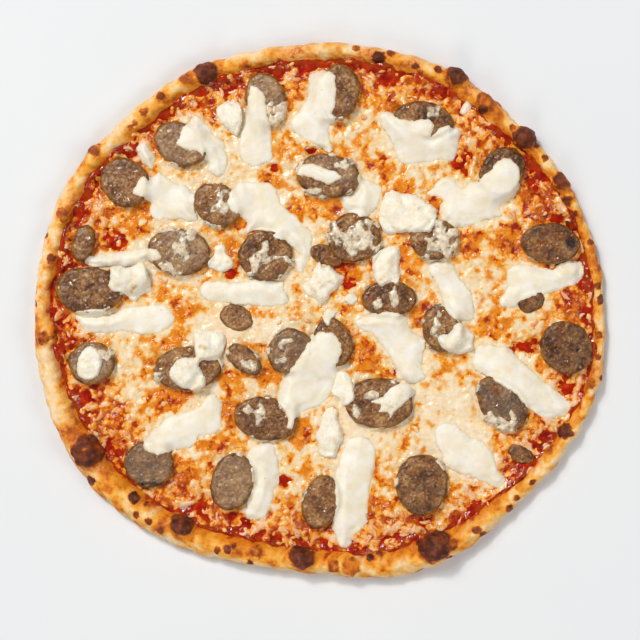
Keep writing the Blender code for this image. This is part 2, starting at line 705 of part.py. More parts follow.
def main():
    clear_scene()
    finishes = {name: material(name) for name in COLOURS}
    surface = Surface()
    surface.lay(build_crust(finishes["crust"]))
    surface.lay(build_sauce(finishes["sauce"]))
    cheese = build_cheese_sheet(finishes["melted_cheese"])
    add_shreds(cheese, finishes["melted_cheese"])
    surface.lay(cheese)
    for index, spec in enumerate(SAUSAGE_SLICES):
        surface.lay(build_sausage_slice(index, spec, surface, finishes["sausage"]))
    kinds = (
        ("mozzarella", MOZZARELLA_PIECES, MOZZARELLA_THICKNESS),
        ("ricotta", RICOTTA_DOLLOPS, RICOTTA_THICKNESS),
    )
    for kind, pieces, thickness in kinds:
        for index, rounds in enumerate(pieces):
            name = f"{kind}_{index + 1:02d}"
            surface.lay(build_patch(name, rounds, thickness, surface, finishes[kind]))


main()
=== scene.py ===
"""Sausage pizza: the finished food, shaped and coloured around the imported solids.

Everything is worked out in millimetres, in the frame's own axes: x to the right and y to the top of the
pizza as it is seen from above, z up from the table. Heights are kept on square maps, one layer lying on the
last: crust, sauce, melted cheese, sausage, mozzarella, ricotta. A piece's marks are numbers kept at its
points, such as how browned it is, and its material turns them into colours.
"""
import json
import math

import bpy
import numpy as np
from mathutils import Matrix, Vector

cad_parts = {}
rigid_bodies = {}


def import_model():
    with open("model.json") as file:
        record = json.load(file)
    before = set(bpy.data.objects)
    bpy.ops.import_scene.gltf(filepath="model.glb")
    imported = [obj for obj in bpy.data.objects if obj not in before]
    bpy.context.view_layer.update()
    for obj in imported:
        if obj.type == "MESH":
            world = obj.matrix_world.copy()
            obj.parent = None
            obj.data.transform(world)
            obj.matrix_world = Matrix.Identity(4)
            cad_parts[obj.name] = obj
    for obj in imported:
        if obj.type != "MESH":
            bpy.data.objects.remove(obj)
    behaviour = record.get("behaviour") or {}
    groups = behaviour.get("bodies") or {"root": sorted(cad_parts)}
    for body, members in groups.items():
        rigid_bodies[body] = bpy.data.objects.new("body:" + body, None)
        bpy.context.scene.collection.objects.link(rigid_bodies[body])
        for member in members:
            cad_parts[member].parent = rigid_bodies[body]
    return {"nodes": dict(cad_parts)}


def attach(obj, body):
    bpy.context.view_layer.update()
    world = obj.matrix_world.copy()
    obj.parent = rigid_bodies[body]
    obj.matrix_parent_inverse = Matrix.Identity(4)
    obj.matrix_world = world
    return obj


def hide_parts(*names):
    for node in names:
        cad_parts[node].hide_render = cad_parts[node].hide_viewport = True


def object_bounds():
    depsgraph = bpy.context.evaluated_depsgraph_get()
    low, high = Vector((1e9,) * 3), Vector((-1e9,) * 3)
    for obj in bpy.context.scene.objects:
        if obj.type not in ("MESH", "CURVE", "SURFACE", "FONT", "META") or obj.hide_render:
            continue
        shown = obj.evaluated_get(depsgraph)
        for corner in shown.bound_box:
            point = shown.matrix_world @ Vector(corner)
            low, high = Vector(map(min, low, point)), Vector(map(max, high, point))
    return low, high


for left_over in list(bpy.data.objects):
    bpy.data.objects.remove(left_over)
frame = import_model()
CAD_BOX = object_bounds()

MM = 0.001

# The finished surfaces stay this far inside the box of the solids
HAIR = 0.02
CEILING = CAD_BOX[1].z / MM - HAIR

# ---------------------------------------------------------------- the maps
# Width of a cell, and how far the maps reach each way
CELL = 0.5
REACH = 172.0
SIDE = int(2 * REACH / CELL) + 1
LINE = np.linspace(-REACH, REACH, SIDE)
MAP_X, MAP_Y = np.meshgrid(LINE, LINE)

# ---------------------------------------------------------------- the crust
# The middle of the rim, how many sections its solid has, the height that a section's points lie about, and
# how many sections and points in each the finished rim has
CRUST_MIDDLE = (-0.112, -0.338)
CRUST_TURNS = 144
SECTION_HEART = 1.5
FINE_TURNS = 1200
FINE_SECTION = 50

# Burnt bubbles and spots of the rim: x, y, radius, how burnt (1 is black), how far it swells
BURNS = (
    (-65, 136, 6.3, 0.97, 1.6), (-77, 134, 4.6, 0.62, 0.6), (-91, 123, 2.3, 0.85, 0.3),
    (-101, 114, 2.3, 0.8, 0.2), (-106, 108, 1.7, 0.8, 0.0), (-109, 105, 1.7, 0.75, 0.0),
    (-129, 93, 3.5, 0.78, 0.8), (-146, 55, 4.6, 0.74, 0.8), (-154, 29, 2.8, 0.84, 0.2),
    (-158, 43, 1.7, 0.85, 0.0), (-164, 12, 1.7, 0.9, 0.0), (-164, 4, 1.7, 0.85, 0.0),
    (-165, -5, 1.7, 0.8, 0.0), (-149, -13, 6.9, 0.8, 1.2), (-159, -16, 3.5, 0.78, 0.4),
    (-132, -80, 9.4, 0.93, 2.0), (-132, -98, 2.9, 0.97, 0.0), (-106, -107, 3.2, 1.0, 0.3),
    (-100, -111, 1.7, 0.9, 0.0), (-79, -122, 6.6, 0.97, 1.2), (-91, -126, 1.9, 0.82, 0.2),
    (-98, -121, 1.9, 0.9, 0.0), (-105, -117, 1.9, 0.85, 0.2), (-59, -138, 1.9, 0.85, 0.2),
    (-53, -137, 2.3, 0.9, 0.2), (-49, -135, 2.0, 0.88, 0.2), (-37, -138, 3.5, 0.76, 0.5),
    (-40, -145, 2.0, 0.85, 0.0), (-10, -140, 7.2, 0.97, 1.6), (-10, -130, 1.9, 0.85, 0.2),
    (3, -137, 2.3, 0.82, 0.2), (8, -147, 3.2, 0.78, 0.6), (18, -147, 4.6, 0.7, 0.7),
    (29, -142, 2.0, 1.0, 0.0), (35, -140, 2.3, 0.85, 0.2), (65, -133, 9.8, 0.98, 2.4),
    (76, -134, 2.9, 0.84, 0.4), (90, -126, 2.3, 0.8, 0.3), (75, -143, 1.9, 0.85, 0.0),
    (94, -129, 1.9, 0.88, 0.0), (109, -114, 2.5, 0.84, 0.4), (113, -108, 1.9, 0.8, 0.2),
    (123, -99, 1.9, 0.82, 0.0), (141, -69, 4.3, 0.98, 0.8), (154, -42, 4.0, 0.72, 0.5),
    (162, -39, 1.9, 0.88, 0.0), (162, 6, 2.9, 0.92, 0.2), (156, 39, 1.9, 0.82, 0.2),
    (161, 25, 1.9, 0.8, 0.2), (160, 14, 1.9, 0.82, 0.2), (161, -14, 1.9, 0.8, 0.0),
    (161, -27, 1.9, 0.8, 0.0), (146, 55, 2.5, 0.9, 0.3), (142, 63, 2.9, 0.86, 0.3),
    (139, 74, 5.2, 0.86, 1.2), (130, 88, 2.3, 0.84, 0.2), (118, 100, 6.6, 0.95, 1.8),
    (125, 96, 2.6, 1.0, 0.2), (111, 105, 1.9, 0.8, 0.2), (95, 121, 4.6, 0.74, 1.6),
    (94, 116, 2.9, 0.94, 0.4), (104, 119, 1.7, 0.8, 0.0), (80, 136, 6.2, 0.96, 2.0),
    (68, 139, 2.3, 0.9, 0.2), (58, 137, 1.9, 0.8, 0.2), (55, 140, 1.9, 0.88, 0.2), (34, 145, 3.7, 1.0, 0.3),
    (41, 148, 2.3, 0.8, 0.2), (21, 151, 2.3, 0.75, 0.0),
)

# Stretches of the rim: turn and half width in degrees, how much more baked at its inner and its outer side
STRETCHES = (
    (0, 7, -0.1, -0.1), (15, 11, 0.08, 0.1), (45, 9, 0.06, 0.0), (60, 11, 0.08, 0.26), (75, 7, 0.08, 0.02),
    (97, 12, -0.02, -0.06), (108, 6, -0.02, -0.06), (120, 9, 0.04, 0.02), (135, 8, 0.0, -0.1),
    (150, 8, 0.02, 0.0), (166, 13, -0.02, -0.06), (195, 10, -0.05, -0.14), (211, 9, 0.12, 0.1),
    (226, 8, 0.02, 0.0), (241, 8, 0.02, 0.02), (258, 11, 0.0, 0.0), (285, 13, -0.05, -0.06),
    (315, 11, 0.04, -0.04), (330, 8, 0.02, -0.04), (346, 9, 0.1, 0.0),
)

# Floury stretches of the rim: x, y, radius
FLOUR = (
    (-40, 151, 14), (-11, 153, 18), (23, 153, 18), (58, 147, 13), (-119, 98, 8), (-113, 107, 7),
    (-134, -86, 16), (90, 128, 7), (-150, 70, 16), (-158, 35, 16), (-160, 6, 15), (-156, -28, 15),
    (-149, -57, 15), (165, -8, 12), (161, -34, 9),
)

# ---------------------------------------------------------------- sauce and cheese
# Width of a face, the level of the hidden underside, and how far the layer spreads beyond the rim's foot
SAUCE_STEP, SAUCE_UNDER, SAUCE_SPREAD = 1.35, 3.05, 2.6
CHEESE_STEP, CHEESE_UNDER, CHEESE_SPREAD = 0.88, 3.3, 1.0
SAUCE_LEVEL = 4.3
CHEESE_LOWEST = 3.5

# The curds of melted cheese: how many, and how far out they lie
CURDS, CURDS_REACH = 7600, 158

# The loose shreds: how many places are tried, how far out, and how many points are along and round each
SHREDS_TRIED, SHREDS_REACH = 16000, 156
SHRED_STATIONS, SHRED_SIDES = 8, 6

# Places with no cheese, where the sauce shows: x, y, half length along x, half length along y
BARE = (
    (9, 142, 21, 5), (38, 134, 7, 7), (69, 125, 12, 4), (125, 79, 7, 10), (135, 53, 9, 3), (153, 18, 4, 10),
    (119, -21, 9, 5), (143, -43, 5, 9), (129, -75, 8, 6), (114, -92, 11, 7), (88, -119, 5, 7),
    (47, -132, 9, 4), (58, -121, 6, 4), (20, -138, 5, 4), (-3, -123, 10, 5), (-33, -131, 9, 4),
    (-21, -98, 5, 4), (-46, -121, 7, 5), (-71, -118, 7, 8), (-118, -78, 6, 9), (-132, -48, 8, 6),
    (-146, -19, 6, 15), (-145, 27, 6, 7), (-130, 76, 6, 7), (-138, 55, 6, 7), (-111, 93, 6, 4),
    (-94, 112, 7, 5), (-67, 121, 6, 5), (-52, 128, 5, 6), (-28, 136, 6, 4), (-10, 137, 4, 4),
    (-27, 82, 4, 3), (-2, 92, 6, 3), (17, 16, 5, 5), (-52, 22, 5, 4), (83, 86, 8, 8), (-119, 41, 8, 7),
    (10, 26.5, 7, 4), (17, -20, 4, 3), (45, -35.5, 4, 3), (6, -68, 3, 3),
)

# Places where the melted cheese reaches the rim: x, y, half lengths
CHEESY = ((100, 128, 15, 14), (127, 101, 17, 16), (147, 72, 15, 17), (157, 44, 9, 15))

# Places where the fat of the sausage has turned the cheese orange: x, y, half lengths
OILY = (
    (143, 82, 9, 16), (120, 110, 12, 8), (111, 41, 11, 10), (98, -7, 8, 8), (-83, -17, 7, 8),
    (42, 113, 5, 10), (48, 60, 10, 14), (-60, 62, 9, 9), (-88, -52, 12, 8), (35, 84, 9, 7),
    (-40, 50, 10, 7), (-20, -20, 9, 8), (72, 60, 8, 8), (135, 30, 9, 12), (-14, 58, 10, 8), (52, 28, 8, 12),
    (-52, -43, 8, 8), (25, -26, 10, 10), (-80, -5, 6, 12), (-49, 28, 7, 9), (-11, -69, 7, 10),
    (-31, -37, 6, 6), (-60, -77, 10, 5), (8, 62, 8, 6), (14, 22, 12, 8), (-104, 46, 8, 6), (-28, 74, 8, 6),
    (60, -3, 10, 8), (-98, 60, 9, 8), (-118, 10, 8, 6), (102, -28, 10, 7), (-80, -92, 9, 8),
    (-50, -60, 9, 7), (126, 64, 8, 12), (112, 84, 8, 8), (147, 2, 5, 12), (86, 38, 8, 8), (-120, -58, 8, 7),
    (32, -112, 8, 6),
)

# Places where the cheese has run smooth and stayed pale: x, y, half lengths
SMOOTH = (
    (76, -68, 20, 30), (-35, -12, 30, 7), (-70, 60, 14, 12), (20, -60, 14, 16), (100, -50, 14, 14),
    (-30, 20, 14, 8), (-70, -8, 16, 6), (-5, -40, 12, 12), (-90, 80, 10, 8), (60, 30, 12, 10),
)

# ---------------------------------------------------------------- what lies on the slices
# Thin films of cheese that have run over the slices: x, y, half lengths
SMEARS = (
    (-79, 37, 5, 9), (-89, 26, 4.5, 2.5), (-83, 22, 5, 2.5), (-75, 44, 3.5, 3.5), (-124, -24, 4.5, 4.5),
    (-92, -39, 4.5, 3.5), (-37, 28, 3, 7.5), (-31, 35, 2.5, 7), (-25, 30, 8, 1.5), (-17, 28, 4.5, 2.5),
    (22, 41, 10.5, 11.5), (9, 44, 4.5, 6), (43, 7, 2.5, 8), (34, 4, 3.5, 2.5), (-21, -19, 4.5, 4),
    (-22, -29, 4.5, 2.5), (-40, -31, 6, 3.5), (71, 39, 10, 11.5), (67, -8, 3, 9), (104, -66, 11.5, 7),
    (21, -57, 4, 4.5), (30, -49, 4.5, 3), (-33, -60, 4.5, 6), (-41, -56, 3.5, 3.5), (-20, -55, 3.5, 2.5),
    (15, 84, 6, 4.5), (-3, 69, 4.5, 3), (-24, 111, 6, 11.5), (-56, 61, 6, 7), (107, 78, 4.5, 4.5),
    (64, 114, 6, 3.5),
)

# Burnt places on the slices
CHARRED = (
    (144, 38, 3.5, 4), (148, -23, 1.5, 1.5), (-21, -21, 1.5, 3), (-134, -72, 5, 1.5), (-126, -78, 2.5, 5),
    (-136, -85, 3.5, 3), (-98, -100, 8.5, 1.5),
)

# Where the slices are greyer than the others
GREYISH = (
    (-98, -89, 17, 17), (-80, 97, 16, 16), (-49, -97, 17, 19), (-80, 35, 20, 16), (-17, -20, 16, 16),
    (-31, 126, 14, 17), (104, -51, 17, 17), (-131, -30, 15, 15), (15, 84, 20, 14),
)

# Places on the slices stained by red oil
OILED = (
    (134, 41, 8.5, 5), (-41, 23, 3, 5), (-20, 23, 6.5, 3.5), (12, 28, 8, 2.5), (29, 6, 6, 4.5),
    (139, -12, 2.5, 7.5), (127, 35, 4.5, 4.5), (-45, -68, 6, 4.5), (101, -46, 4.5, 3.5),
    (156, -29, 3.5, 3.5), (-37, 127, 3.5, 3.5),
)

# ---------------------------------------------------------------- edges of the toppings
# Ends of sausage too small to have a solid: x, y, length, width, turn in degrees
SMALL_SLICES = ((4, 32, 20, 12, -20), (122, 5, 16, 12, 30), (-48, -4, 20, 15, -20), (116, -83, 16, 10, -25))

# The edge of each torn piece of mozzarella as seen from above: x, y
MOZZARELLA_EDGES = {
    "mozzarella_01": ((-40, 128.5), (-36, 128.5), (-32.5, 125.5), (-30.5, 120.5), (-30, 113),
        (-28.5, 105.5), (-27.5, 98.5), (-27, 92.5), (-27.5, 87.5), (-33.5, 84), (-40, 83), (-45.5, 87),
        (-47, 93.5), (-46, 101), (-44.5, 110), (-42.5, 117), (-41.5, 123.5)),
    "mozzarella_02": ((-6.5, 133), (-5.5, 137), (-1, 138.5), (3, 138.5), (7, 137), (9.5, 133), (9.5, 124.5),
        (8.5, 115.5), (7, 113), (10, 111), (9, 108.5), (6, 106), (6, 99.5), (7.5, 96.5), (7.5, 93.5),
        (5, 91), (1.5, 93.5), (-4, 96.5), (-7.5, 97), (-10, 99.5), (-16, 104), (-17, 108), (-15.5, 111.5),
        (-11.5, 115.5), (-7.5, 122.5), (-6.5, 128.5)),
    "mozzarella_03": ((35.5, 114.5), (40.5, 114.5), (45, 110.5), (52, 109.5), (58, 109.5), (63.5, 109.5),
        (65.5, 106), (64, 100.5), (67, 103.5), (71.5, 106), (77, 106), (81, 104), (80.5, 96.5), (79, 89.5),
        (76, 86), (69.5, 87), (63.5, 85.5), (53.5, 84.5), (46.5, 85.5), (43.5, 91), (41.5, 96.5), (39, 101),
        (35.5, 105.5), (34, 111)),
    "mozzarella_04": ((-72.5, 112), (-69, 111.5), (-64.5, 107), (-60.5, 101), (-56.5, 98.5), (-54, 95),
        (-55, 92.5), (-53.5, 91), (-52.5, 85), (-54.5, 80), (-57.5, 77), (-61.5, 78), (-65, 81),
        (-64.5, 85), (-67.5, 88), (-70, 91), (-75, 92), (-80, 93), (-82.5, 96), (-81, 100), (-79.5, 104),
        (-76, 108.5)),
    "mozzarella_05": ((-107.5, 67), (-106.5, 71), (-102.5, 76.5), (-97.5, 77), (-95, 78.5), (-92, 80),
        (-88, 77), (-83.5, 74), (-77.5, 72), (-73, 67.5), (-71.5, 63.5), (-72, 58), (-70, 53.5), (-73, 51),
        (-80.5, 52.5), (-84.5, 52), (-90.5, 52.5), (-92, 51), (-97, 54), (-98.5, 58), (-97.5, 61.5),
        (-99.5, 63.5), (-103.5, 65.5)),
    "mozzarella_06": ((-53, 63.5), (-52, 67.5), (-48.5, 72), (-46, 74.5), (-40, 74.5), (-35.5, 74),
        (-31, 74.5), (-27.5, 73), (-24.5, 69.5), (-23.5, 65.5), (-21, 61), (-17.5, 57.5), (-14, 55),
        (-11.5, 52), (-8.5, 48.5), (-5, 46.5), (-4, 43), (-4.5, 38.5), (-4.5, 33.5), (-6, 30), (-8, 25.5),
        (-9.5, 22), (-13, 22), (-13.5, 27), (-14, 30), (-12.5, 32.5), (-16, 36.5), (-19, 39.5), (-23, 40.5),
        (-27, 42.5), (-28.5, 44.5), (-33.5, 46), (-38, 46), (-41.5, 44), (-42.5, 47.5), (-42.5, 51),
        (-46, 54), (-49.5, 56), (-52.5, 59)),
    "mozzarella_07": ((-69.5, 12), (-68.5, 15), (-65, 17), (-57.5, 17), (-49, 17), (-40, 17.5), (-33.5, 18),
        (-26, 17), (-21, 16.5), (-20, 12.5), (-18.5, 8.5), (-17.5, 4.5), (-23, 2.5), (-31.5, 2), (-40, 3),
        (-46, 3.5), (-54.5, 4.5), (-62, 5), (-66, 6.5), (-69, 9)),
    "mozzarella_08": ((21.5, 77), (23.5, 78.5), (25.5, 76.5), (31, 74), (36, 71), (36, 67.5), (35, 63.5),
        (33.5, 59.5), (31, 57), (27.5, 54), (22, 54), (18.5, 56), (14, 58), (13, 61), (13.5, 65),
        (18.5, 66.5), (21, 70.5)),
    "mozzarella_09": ((101, 85), (104, 87), (108.5, 87.5), (112.5, 85), (115, 81), (115.5, 76.5), (115, 71),
        (114, 67.5), (110, 63.5), (105, 61), (104, 58), (106, 55), (104, 54), (98.5, 52.5), (92.5, 51),
        (85.5, 48), (79, 48), (75, 49.5), (73.5, 51.5), (70.5, 52), (69, 56), (69.5, 61), (71, 63.5),
        (66.5, 65.5), (62.5, 66.5), (62, 68.5), (65, 70.5), (66.5, 73.5), (69.5, 76), (74, 77), (78, 74.5),
        (82.5, 71), (86.5, 74), (91.5, 74.5), (94, 78), (98.5, 81)),
    "mozzarella_10": ((107.5, 18.5), (108.5, 23.5), (112, 26), (118, 27), (125, 25.5), (131, 24.5),
        (135, 24), (138, 27), (142.5, 28), (147.5, 29), (151.5, 27.5), (152.5, 23.5), (152, 20),
        (149.5, 16), (146.5, 14), (141.5, 13), (135, 10.5), (129, 9), (125, 8.5), (119.5, 6.5), (115, 3.5),
        (113.5, 1.5), (108, 1.5), (104, 2.5), (103.5, 6.5), (106, 9.5), (108, 14)),
    "mozzarella_11": ((62.5, 23.5), (64, 27.5), (67.5, 28), (76, 27.5), (78.5, 23.5), (81.5, 18.5),
        (85, 14), (88, 9.5), (89, 4.5), (89.5, -1), (89, -5), (84, -6.5), (78.5, -5.5), (74, -2), (71, 3.5),
        (69.5, 9.5), (67.5, 14), (65, 18)),
    "mozzarella_12": ((88, -29), (89, -25), (91.5, -20.5), (96.5, -19.5), (103.5, -20), (108.5, -21),
        (113.5, -25.5), (118, -30), (122.5, -34), (127.5, -39), (132.5, -43), (137.5, -46.5), (142, -50.5),
        (145, -54), (144, -58.5), (138.5, -62), (130, -62), (119.5, -56.5), (115, -51), (110.5, -46.5),
        (104, -43), (99, -39.5), (92.5, -36), (89, -34)),
    "mozzarella_13": ((20, -6.5), (23.5, -4), (28, -2.5), (33.5, -1), (39.5, -0.5), (45, -1.5), (50, -4),
        (51.5, -8), (54, -12), (58, -15), (61, -19), (60, -25.5), (59.5, -33), (61, -39), (56.5, -42),
        (52.5, -43), (48.5, -40.5), (45, -39.5), (43.5, -34.5), (41, -28.5), (39.5, -24.5), (36.5, -21.5),
        (33.5, -17.5), (30, -13.5), (25.5, -12), (21.5, -9.5)),
    "mozzarella_14": ((-24.5, -50), (-24, -46), (-22.5, -41.5), (-19, -36.5), (-15.5, -32), (-12, -27),
        (-9, -23), (-6.5, -18), (-5, -14), (-1.5, -12.5), (3, -12), (7, -12.5), (10, -15), (12.5, -19),
        (13.5, -23.5), (11.5, -27.5), (10, -31.5), (10.5, -35.5), (9.5, -41.5), (6.5, -47.5), (2.5, -53.5),
        (-3.5, -56.5), (-9.5, -58.5), (-13.5, -63), (-16, -68), (-19, -67.5), (-18.5, -62.5), (-21, -56.5),
        (-24, -52.5)),
    "mozzarella_15": ((-141, -2.5), (-139, -7.5), (-136, -11.5), (-131.5, -13), (-122.5, -13.5),
        (-113.5, -12), (-106, -13.5), (-98.5, -14), (-91.5, -12.5), (-86, -9.5), (-83.5, -5), (-86, 0),
        (-89.5, 3), (-95.5, 3.5), (-103.5, 3), (-111, 2), (-116, 0), (-120, -2), (-127, -2.5),
        (-133.5, -3)),
    "mozzarella_16": ((-135, 29), (-132.5, 31.5), (-127, 32.5), (-118.5, 33.5), (-111, 35), (-105, 36),
        (-98.5, 36), (-94, 35), (-91, 32.5), (-91.5, 29.5), (-95.5, 27.5), (-99.5, 28), (-102.5, 25.5),
        (-109.5, 24.5), (-118, 24.5), (-127, 25), (-132, 25.5), (-135, 27)),
    "mozzarella_17": ((-101.5, -78), (-101.5, -75), (-99, -71.5), (-95.5, -68), (-91.5, -64.5),
        (-87.5, -61.5), (-82.5, -60), (-76.5, -58), (-71, -55.5), (-67.5, -52.5), (-64.5, -48),
        (-61, -47.5), (-58, -51), (-56, -54.5), (-56.5, -60), (-56.5, -64.5), (-57.5, -69), (-61, -71.5),
        (-65.5, -72), (-69.5, -72.5), (-71, -75.5), (-73.5, -79), (-79, -80), (-84.5, -81), (-91, -83),
        (-96, -82.5), (-99.5, -80.5)),
    "mozzarella_18": ((-42, -83.5), (-38.5, -78), (-32, -76.5), (-26.5, -77), (-25, -81.5), (-23.5, -88),
        (-23, -94.5), (-24, -100), (-26, -104), (-26.5, -109.5), (-28.5, -115), (-32.5, -120),
        (-38.5, -121), (-42, -120), (-43, -115.5), (-41.5, -109.5), (-39, -104), (-38, -98), (-38.5, -91),
        (-41, -87.5)),
    "mozzarella_19": ((18, -73.5), (24, -72), (28.5, -74), (32, -79), (32.5, -86.5), (31, -94.5),
        (29.5, -102), (28.5, -109.5), (27.5, -114.5), (27.5, -121.5), (24.5, -126), (20, -130.5),
        (17.5, -135.5), (14, -137.5), (11, -135.5), (8.5, -129), (7, -124), (8.5, -115.5), (9, -108),
        (8.5, -100), (8.5, -94.5), (10.5, -88), (13, -81.5), (15, -76.5)),
    "mozzarella_20": ((66, -70.5), (67, -67.5), (70, -65.5), (73.5, -64.5), (78, -65), (81, -67.5),
        (84, -70), (88, -73), (92.5, -75), (96.5, -77.5), (99.5, -81.5), (101, -85.5), (102.5, -90),
        (104, -93), (106.5, -95.5), (107, -99), (105, -101.5), (102.5, -102.5), (99.5, -102), (96.5, -100),
        (93.5, -99), (91.5, -98), (86.5, -95.5), (81.5, -94.5), (76.5, -92.5), (73, -90), (71, -86.5),
        (69.5, -81.5), (67, -77.5)),
}

# The edge of each dollop of ricotta
RICOTTA_EDGES = {
    "ricotta_01": ((-59.5, 117), (-56.5, 119), (-50.5, 121.5), (-47.5, 120.5), (-45.5, 117), (-44.5, 111.5),
        (-45.5, 106), (-47.5, 101), (-50.5, 102), (-54.5, 105.5), (-57.5, 108.5), (-59.5, 113)),
    "ricotta_02": ((-4.5, 18.5), (-4, 22.5), (-2, 26), (0, 28), (2, 25), (5, 26), (7.5, 24.5), (10.5, 22),
        (14, 19.5), (12.5, 16.5), (10.5, 14), (9.5, 12), (6.5, 9.5), (5, 7), (2.5, 4.5), (0, 1.5),
        (-1, 4.5), (-2.5, 7), (-6, 7.5), (-9, 11), (-10, 14.5), (-7.5, 17)),
    "ricotta_03": ((31, 22), (30, 28), (32, 32), (36, 35), (39.5, 37), (43.5, 37.5), (46.5, 35.5),
        (46.5, 30), (46, 25), (46.5, 20), (44.5, 16), (41, 16), (38.5, 15), (35.5, 13.5), (33, 16.5),
        (31.5, 19.5)),
    "ricotta_04": ((-73, -13), (-68.5, -11.5), (-61, -12), (-54.5, -14), (-54.5, -21), (-58, -27.5),
        (-62.5, -29), (-67.5, -29), (-69.5, -31.5), (-67, -35.5), (-65.5, -39), (-66, -43.5), (-72.5, -46),
        (-80, -44), (-84.5, -40.5), (-86.5, -36), (-82.5, -29), (-77, -27), (-72, -27), (-71.5, -24),
        (-72.5, -18)),
    "ricotta_05": ((1, -62.5), (2.5, -58.5), (6.5, -55.5), (10.5, -58), (10.5, -63), (13.5, -69),
        (13.5, -73.5), (11, -79), (9, -84), (4, -85), (0, -83.5), (-1, -77), (-2, -71.5), (0, -67.5)),
    "ricotta_06": ((36, 62.5), (37.5, 67.5), (40.5, 68.5), (42.5, 69.5), (47.5, 67.5), (53.5, 67), (58, 65),
        (62, 62.5), (66.5, 59), (67.5, 55), (66.5, 51), (65, 47.5), (62.5, 45), (53.5, 45), (47.5, 45),
        (40.5, 44), (36, 46.5), (34, 55)),
    "ricotta_07": ((67.5, -16.5), (69, -14), (73.5, -13.5), (76.5, -10.5), (78.5, -7.5), (82.5, -8),
        (85.5, -10.5), (89, -13.5), (88.5, -18), (88, -22.5), (84, -24.5), (80.5, -25.5), (76.5, -24.5),
        (71.5, -22.5), (69, -20)),
}

# Slivers of mozzarella too small to have a solid
SMALL_MOZZARELLA_EDGES = {
    "mozzarella_sliver_1": ((-13, 80), (-10, 83.5), (-5.5, 84.5), (0, 83), (5, 81), (10, 79.5), (13, 76.5),
        (9, 74), (5, 72), (1.5, 73.5), (-2.5, 75), (-8.5, 77), (-13, 77.5)),
    "mozzarella_sliver_2": ((-103, 97), (-100, 96.5), (-97.5, 92.5), (-94.5, 89.5), (-95, 85.5), (-97, 81),
        (-99.5, 83), (-102.5, 85.5), (-105.5, 91), (-105.5, 94.5)),
    "mozzarella_sliver_3": ((85.5, 121.5), (87.5, 118.5), (86.5, 115.5), (84, 113), (81, 114), (82, 117.5),
        (84, 120.5)),
    "mozzarella_sliver_4": ((-141, -2), (-138.5, 0), (-130, 1), (-125, 1), (-121.5, -1), (-124, -2.5),
        (-128, -4.5), (-136, -4.5)),
}

# Crumbs of ricotta too small to have a solid
SMALL_RICOTTA_EDGES = {
    "ricotta_crumb_1": ((-64, 28), (-61, 31.5), (-60.5, 36.5), (-57, 38.5), (-54, 36.5), (-54, 32.5),
        (-50.5, 30), (-49.5, 27), (-52, 23.5), (-56.5, 22), (-61, 23.5), (-63.5, 24.5)),
    "ricotta_crumb_2": ((8.5, -40), (10.5, -35.5), (15, -35), (18, -39), (20, -49.5), (17, -54),
        (13.5, -54.5), (10.5, -51), (7, -47.5)),
    "ricotta_crumb_3": ((29.5, -52.5), (36, -49.5), (40, -45), (47, -42), (52.5, -44), (56, -47),
        (52.5, -50), (48, -54), (43.5, -58), (40.5, -62), (39, -58.5), (33.5, -58.5), (35.5, -54.5)),
    "ricotta_crumb_4": ((-139.5, -32.5), (-138.5, -27.5), (-136, -23), (-132, -20.5), (-127.5, -23),
        (-125, -27), (-125.5, -32.5), (-127.5, -37.5), (-132, -40), (-136.5, -39), (-139, -36.5)),
    "ricotta_crumb_5": ((-120.5, 24.5), (-115, 25.5), (-109.5, 24.5), (-103, 28), (-100, 25), (-98.5, 20.5),
        (-97, 14), (-98.5, 11), (-103.5, 8.5), (-106.5, 5.5), (-109.5, 6), (-111, 8.5), (-114, 10.5),
        (-118.5, 11), (-121.5, 13.5), (-120.5, 17.5), (-120, 22.5)),
    "ricotta_crumb_6": ((1.5, -3), (3, -0.5), (5.5, 1.5), (7.5, 0), (10, -1), (8.5, -3), (6.5, -5.5),
        (5.5, -8.5), (3.5, -8.5), (2, -5.5)),
    "ricotta_crumb_7": ((14, 7), (16.5, 9.5), (20, 9.5), (22, 7), (21, 4.5), (17.5, 3), (14.5, 5)),
}


# ================================================================ numbers
# The side of the table of random slopes, where the middle of the pizza lies on it, and the gain that brings
# the highest bumps to about 1
SLOPES = 97
SLOPES_START = (31.7, 17.3)
NOISE_GAIN = 1.6


def noise(x, y, size, seed):
    """Soft bumps about `size` across, from about -1 to 1."""
    turns = np.random.default_rng(seed).random((SLOPES, SLOPES)) * math.tau
    u, v = (np.asarray(value) / size + start for value, start in zip((x, y), SLOPES_START))
    i, j = np.floor(u).astype(int), np.floor(v).astype(int)
    a, b = u - i, v - j
    ease_a, ease_b = (t * t * t * (t * (t * 6 - 15) + 10) for t in (a, b))
    total = 0.0
    for right in (0, 1):
        for up in (0, 1):
            angle = turns[(j + up) % SLOPES, (i + right) % SLOPES]
            slope = np.cos(angle) * (a - right) + np.sin(angle) * (b - up)
            total = total + slope * (ease_a if right else 1 - ease_a) * (ease_b if up else 1 - ease_b)
    return total * NOISE_GAIN


def rough(x, y, size, seed, layers=3):
    """Noise with finer and weaker noise on it."""
    return sum(noise(x, y, size / 2 ** k, seed + k) / 2 ** k for k in range(layers))


def map_noise(size, seed):
    """Noise over the whole map."""
    return noise(MAP_X, MAP_Y, size, seed)


def map_rough(size, seed):
    """Rough noise over the whole map."""
    return rough(MAP_X, MAP_Y, size, seed)


def ease(low, high, value):
    """0 below low, 1 above high, and a smooth step between."""
    t = np.clip((value - low) / (high - low), 0, 1)
    return t * t * (3 - 2 * t)


def fading(low, high, value):
    """1 below low, 0 above high, and a smooth step between."""
    return 1 - ease(low, high, value)


